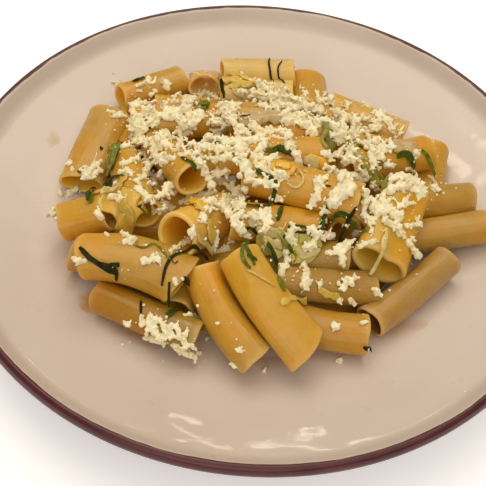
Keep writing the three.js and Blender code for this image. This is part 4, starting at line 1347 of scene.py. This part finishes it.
FETA_BACK_MIDDLE = [
    (6, 199, 95, 207, 93, 213, 96, 217, 99), (4, 202, 112, 202, 117), (8, 222, 104, 230, 103, 238, 105),
    (8, 222, 111, 230, 110, 236, 109), (7, 224, 116, 232, 117), (7, 212, 121, 220, 124, 227, 124),
    (6, 233, 121, 236, 116), (6, 238, 127, 236, 134), (6, 215, 131, 222, 134),
    (6, 205, 140, 212, 138, 220, 139, 228, 141), (7, 195, 146, 204, 147, 212, 147, 220, 148, 229, 149),
    (6, 186, 153, 193, 155, 200, 152), (6, 203, 157, 212, 159, 222, 158, 230, 156),
    (6, 194, 159, 202, 164, 206, 171, 209, 179, 212, 186), (6, 232, 142, 242, 140, 250, 141, 257, 139),
    (8, 252, 126, 258, 129, 265, 133, 273, 132, 281, 131, 289, 136),
    (7, 258, 138, 266, 141, 261, 148, 255, 153), (6, 290, 142, 294, 150, 297, 158, 301, 163),
    (5, 286, 143, 289, 150), (7, 261, 158, 268, 160, 275, 157), (6, 262, 165, 267, 170),
    (4, 255, 158, 257, 166), (5, 244, 131, 249, 135), (6, 239, 91, 244, 90),
    (5, 257, 82, 262, 84, 267, 88), (5, 252, 92, 258, 94, 263, 95), (7, 271, 94, 279, 94, 286, 89),
    (6, 261, 99, 270, 99, 278, 100, 286, 99, 291, 95), (6, 259, 105, 266, 106),
    (7, 292, 103, 300, 101, 306, 98), (3, 303, 92, 308, 94), (3, 316, 92, 319, 96),
    (9, 290, 109, 300, 108, 308, 107, 316, 110, 322, 109), (8, 284, 114, 292, 116, 302, 116, 311, 115),
    (6, 287, 122, 296, 122), (8, 303, 124, 311, 126, 314, 134), (7, 318, 121, 326, 119),
    (5, 274, 173, 283, 173), (3, 283, 177, 288, 177), (8, 218, 174, 226, 172),
    (5, 214, 179, 222, 181, 229, 180, 234, 176), (4, 246, 181, 253, 178),
    (5, 255, 185, 262, 182, 269, 183, 273, 186), (3, 270, 90, 273, 87), (5, 275, 104, 283, 107),
]
FETA_BACK_RIGHT = [
    (5, 319, 101, 325, 100, 331, 102), (4, 331, 97), (4, 347, 103, 347, 108), (4, 364, 104, 369, 107),
    (7, 334, 113, 342, 113), (8, 335, 120, 344, 120, 351, 118, 357, 121), (7, 333, 126, 342, 126),
    (5, 363, 118, 371, 120, 380, 121), (5, 374, 112, 383, 114), (4, 386, 118, 390, 124, 391, 130),
    (5, 396, 125), (8, 336, 134, 343, 134, 351, 133, 358, 133), (5, 362, 129, 371, 130, 380, 127),
    (4, 366, 133, 369, 140), (4, 336, 141, 345, 140), (5, 358, 141, 365, 144, 372, 148, 376, 153),
    (7, 375, 142, 384, 143), (8, 380, 150, 388, 149), (6, 372, 157, 382, 157), (4, 390, 140, 392, 146),
    (5, 323, 153, 330, 156, 337, 154, 344, 149), (6, 348, 153, 354, 151), (6, 345, 161, 353, 158),
    (6, 373, 162, 372, 169), (5, 386, 165, 393, 166), (6, 416, 152, 417, 156),
    (6, 326, 167, 333, 171, 341, 174, 350, 173, 357, 177), (5, 317, 181, 325, 178),
    (4, 321, 185, 324, 187), (5, 319, 190, 316, 198, 312, 205), (8, 326, 211), (4, 359, 181, 367, 179),
    (6, 372, 184, 376, 189), (4, 391, 174, 393, 179, 390, 184),
    (6, 387, 192, 394, 188, 402, 186, 410, 185), (6, 401, 175, 410, 178, 416, 182, 423, 189),
    (5, 413, 190, 423, 192), (4, 430, 187, 437, 190), (5, 363, 189, 366, 198, 364, 208, 363, 216),
    (8, 371, 203, 380, 203), (8, 373, 211, 384, 212), (6, 385, 205, 392, 210), (7, 395, 212, 399, 220),
    (4, 397, 208, 403, 204, 412, 203), (6, 385, 221, 393, 224, 398, 229, 400, 235),
    (6, 368, 219, 374, 223), (6, 378, 196, 384, 195), (4, 371, 228), (3, 406, 225, 413, 225, 421, 224),
    (5, 409, 243, 412, 247, 415, 253, 420, 256), (4, 410, 263), (3, 368, 242, 375, 241),
    (4, 360, 170, 366, 176),
]
FETA_FRONT = [
    (9, 231, 188, 237, 193, 242, 196), (4, 245, 188, 246, 192),
    (6, 224, 198, 222, 207, 229, 214, 235, 221, 241, 229), (6, 234, 206, 244, 206),
    (5, 238, 214, 245, 217), (5, 251, 214, 256, 218, 263, 215, 267, 212),
    (7, 267, 219, 266, 226, 263, 229), (5, 271, 200, 276, 197, 282, 200),
    (6, 294, 228, 292, 233, 288, 239), (4, 296, 229, 299, 230), (5, 289, 243, 293, 242),
    (7, 312, 229, 316, 233, 315, 240, 312, 246, 307, 248), (6, 322, 237, 331, 234), (5, 331, 240),
    (6, 338, 247, 345, 248, 350, 242), (5, 342, 253, 342, 262), (3, 327, 252, 335, 253), (4, 264, 247),
    (7, 233, 241), (4, 242, 232, 250, 237), (5, 285, 253, 287, 260, 284, 268, 280, 274),
    (5, 305, 266, 306, 272, 303, 277, 309, 281), (7, 320, 284), (6, 306, 286), (7, 343, 286, 350, 280),
    (5, 110, 197, 116, 196, 122, 199), (5, 137, 187, 141, 192, 146, 197, 152, 200),
    (6, 152, 199, 160, 196, 167, 192, 176, 191), (5, 166, 187, 172, 184), (4, 147, 203),
    (7, 163, 205, 170, 206), (5, 155, 211, 163, 210), (6, 190, 196, 198, 197), (8, 204, 195, 212, 194),
    (7, 207, 202, 213, 201), (5, 205, 210, 213, 208), (5, 203, 216, 204, 221), (6, 210, 187, 211, 182),
    (4, 193, 229, 192, 236), (4, 171, 251, 178, 246, 188, 240), (4, 116, 231), (5, 108, 235),
    (5, 123, 234, 129, 237), (6, 124, 242, 133, 241), (6, 142, 262, 147, 261, 153, 259, 158, 258),
    (5, 160, 262), (3, 216, 232, 216, 240, 214, 248), (3, 211, 251, 220, 251, 228, 249), (3, 113, 268),
    (2, 128, 270), (2, 175, 279, 175, 284), (6, 98, 212, 100, 219), (6, 75, 260, 79, 261),
    (4, 353, 235, 359, 232), (3, 345, 226, 351, 222), (5, 230, 198, 227, 205), (4, 244, 198, 240, 203),
    (4, 187, 200, 181, 203),
]
FETA_FOOT = [
    (3, 142, 317, 142, 325), (3, 148, 322, 150, 315), (4, 150, 320, 156, 320, 161, 321, 162, 325),
    (4, 148, 325, 154, 327), (3, 147, 330, 147, 334), (5, 152, 331, 157, 335, 163, 337, 168, 333),
    (4, 145, 338, 152, 338, 158, 341, 164, 343), (5, 167, 327, 171, 325, 170, 332, 173, 336),
    (3, 176, 325, 178, 330), (4, 178, 336, 183, 336, 187, 332), (4, 184, 340, 186, 345, 184, 349),
    (4, 173, 345, 178, 347, 179, 351), (4, 181, 352, 187, 353, 191, 356, 196, 358),
    (3, 187, 315, 190, 315), (4, 193, 315, 198, 317), (3, 127, 325, 130, 322), (2, 190, 346, 196, 349),
    (2, 198, 354, 201, 353), (5, 239, 350, 241, 351), (3, 232, 364, 235, 366), (3, 219, 323),
    (2, 236, 339), (5, 334, 326, 336, 327), (4, 368, 349), (2, 361, 323, 366, 322),
    (4, 338, 300, 341, 301), (3, 350, 299, 354, 304), (4, 376, 290, 379, 294), (3, 338, 361, 342, 360),
    (2, 207, 338), (3, 264, 371),
]

# %% [markdown]
# The rest of the cheese doesn't show: a thin scatter over the far side of the heap, and fine grains
# that every shred sheds around it.

# %% Drop the feta
FETA_TOP = FETA_BACK_LEFT + FETA_BACK_MIDDLE + FETA_BACK_RIGHT
FETA_FAR_SIDE, FAR_CRUMBS = (0, 40, 90, 70), 420  # middle x, y, half widths, how many runs of crumbs
FETA_ON_PLATE = [(-99, -4), (-101, -14), (74, 67), (84, 44), (92, 34)]
FETA_VOXEL, FETA_KEPT = 0.40, 0.30


def hidden_on_heap(x, y):
    """Whether a place lies on the pasta where the camera can't see it."""
    z = rest_height(x, y, 1.0)
    start = Vector(camera.matrix_world.translation) / MM
    away = Vector((x, y, z)) - start
    hit = heap_skin.ray_cast(start, away.normalized())[3]
    return z > bowl_top(x, y) + 6 and hit is not None and hit < away.length - 4


def on_heap(px, py):
    """Whether the ray through a pixel meets the heap and not the plate."""
    hit = meets_heap(*pixel_ray(px, py))
    return hit is not None and hit.z > bowl_top(hit.x, hit.y) + 4


def add_short_shreds(crumbs, rng):
    """Small crooked shreds, none to two near each shred on top."""
    for _, *line in FETA_TOP:
        for _ in range(int(rng.integers(0, 3))):
            near = int(rng.integers(0, len(line) // 2))
            walk = [np.array(line[2 * near:2 * near + 2]) + rng.normal(0, 4.0, 2)]
            heading = rng.uniform(0, 2 * np.pi)
            for _ in range(int(rng.integers(1, 4))):
                heading += rng.normal(0, 0.9)
                walk.append(walk[-1] + rng.uniform(2, 5) * np.array((math.cos(heading), math.sin(heading))))
            if on_heap(*walk[0]) and on_heap(*walk[-1]):
                crumbs.shred(rng.uniform(0.8, 2.2), np.array(walk).ravel())


def add_far_side(crumbs, rng):
    """Short runs of crumbs where the camera can't see the heap."""
    x, y, half_x, half_y = FETA_FAR_SIDE
    for _ in range(FAR_CRUMBS):
        angle, out = rng.uniform(0, 2 * np.pi), rng.random() ** 0.6
        heading = rng.uniform(0, 2 * np.pi)
        for k in range(int(rng.integers(2, 6))):
            u = x + half_x * out * math.cos(angle) + 1.8 * k * math.cos(heading)
            v = y + half_y * out * math.sin(angle) + 1.8 * k * math.sin(heading)
            if hidden_on_heap(u, v):
                crumbs.drop(u, v, rng.uniform(0.8, 1.6))


def grate_feta():
    crumbs = Crumbs(41)
    rng = crumbs.rng
    for width, *line in FETA_TOP + FETA_FRONT + FETA_FOOT:
        crumbs.shred(width, line)
    add_short_shreds(crumbs, rng)
    for place in [lump.mean(axis=0) for lump in crumbs.lumps][::9]:
        x, y = place[:2] + rng.normal(0, 4.5, 2)
        crumbs.drop(x, y, rng.uniform(0.35, 0.85))
    add_far_side(crumbs, rng)
    for x, y in FETA_ON_PLATE:
        crumbs.drop(x, y, rng.uniform(0.9, 1.4))
    return crumbs.weld("feta_grated", FETA_VOXEL, FETA_KEPT)


feta = grate_feta()
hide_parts("rigatoni_heap")

# %% [markdown]
# Two chunks escaped the grater. They are welded in the same way from bigger lumps.

# %% Feta chunks
FETA_CHUNKS = [(12, 241, 148, 243, 157, 246, 166, 249, 174), (13, 346, 183, 343, 192, 337, 199, 331, 203)]
CHUNK_VOXEL = 0.42


def lay_chunks():
    for number, (width, *line) in enumerate(FETA_CHUNKS, 1):
        crumbs = Crumbs(60 + number)
        crumbs.shred(width, line)
        piece = crumbs.weld(f"feta_lump_{number}", CHUNK_VOXEL)
        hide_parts(f"feta_chunk_{number:02d}")


lay_chunks()
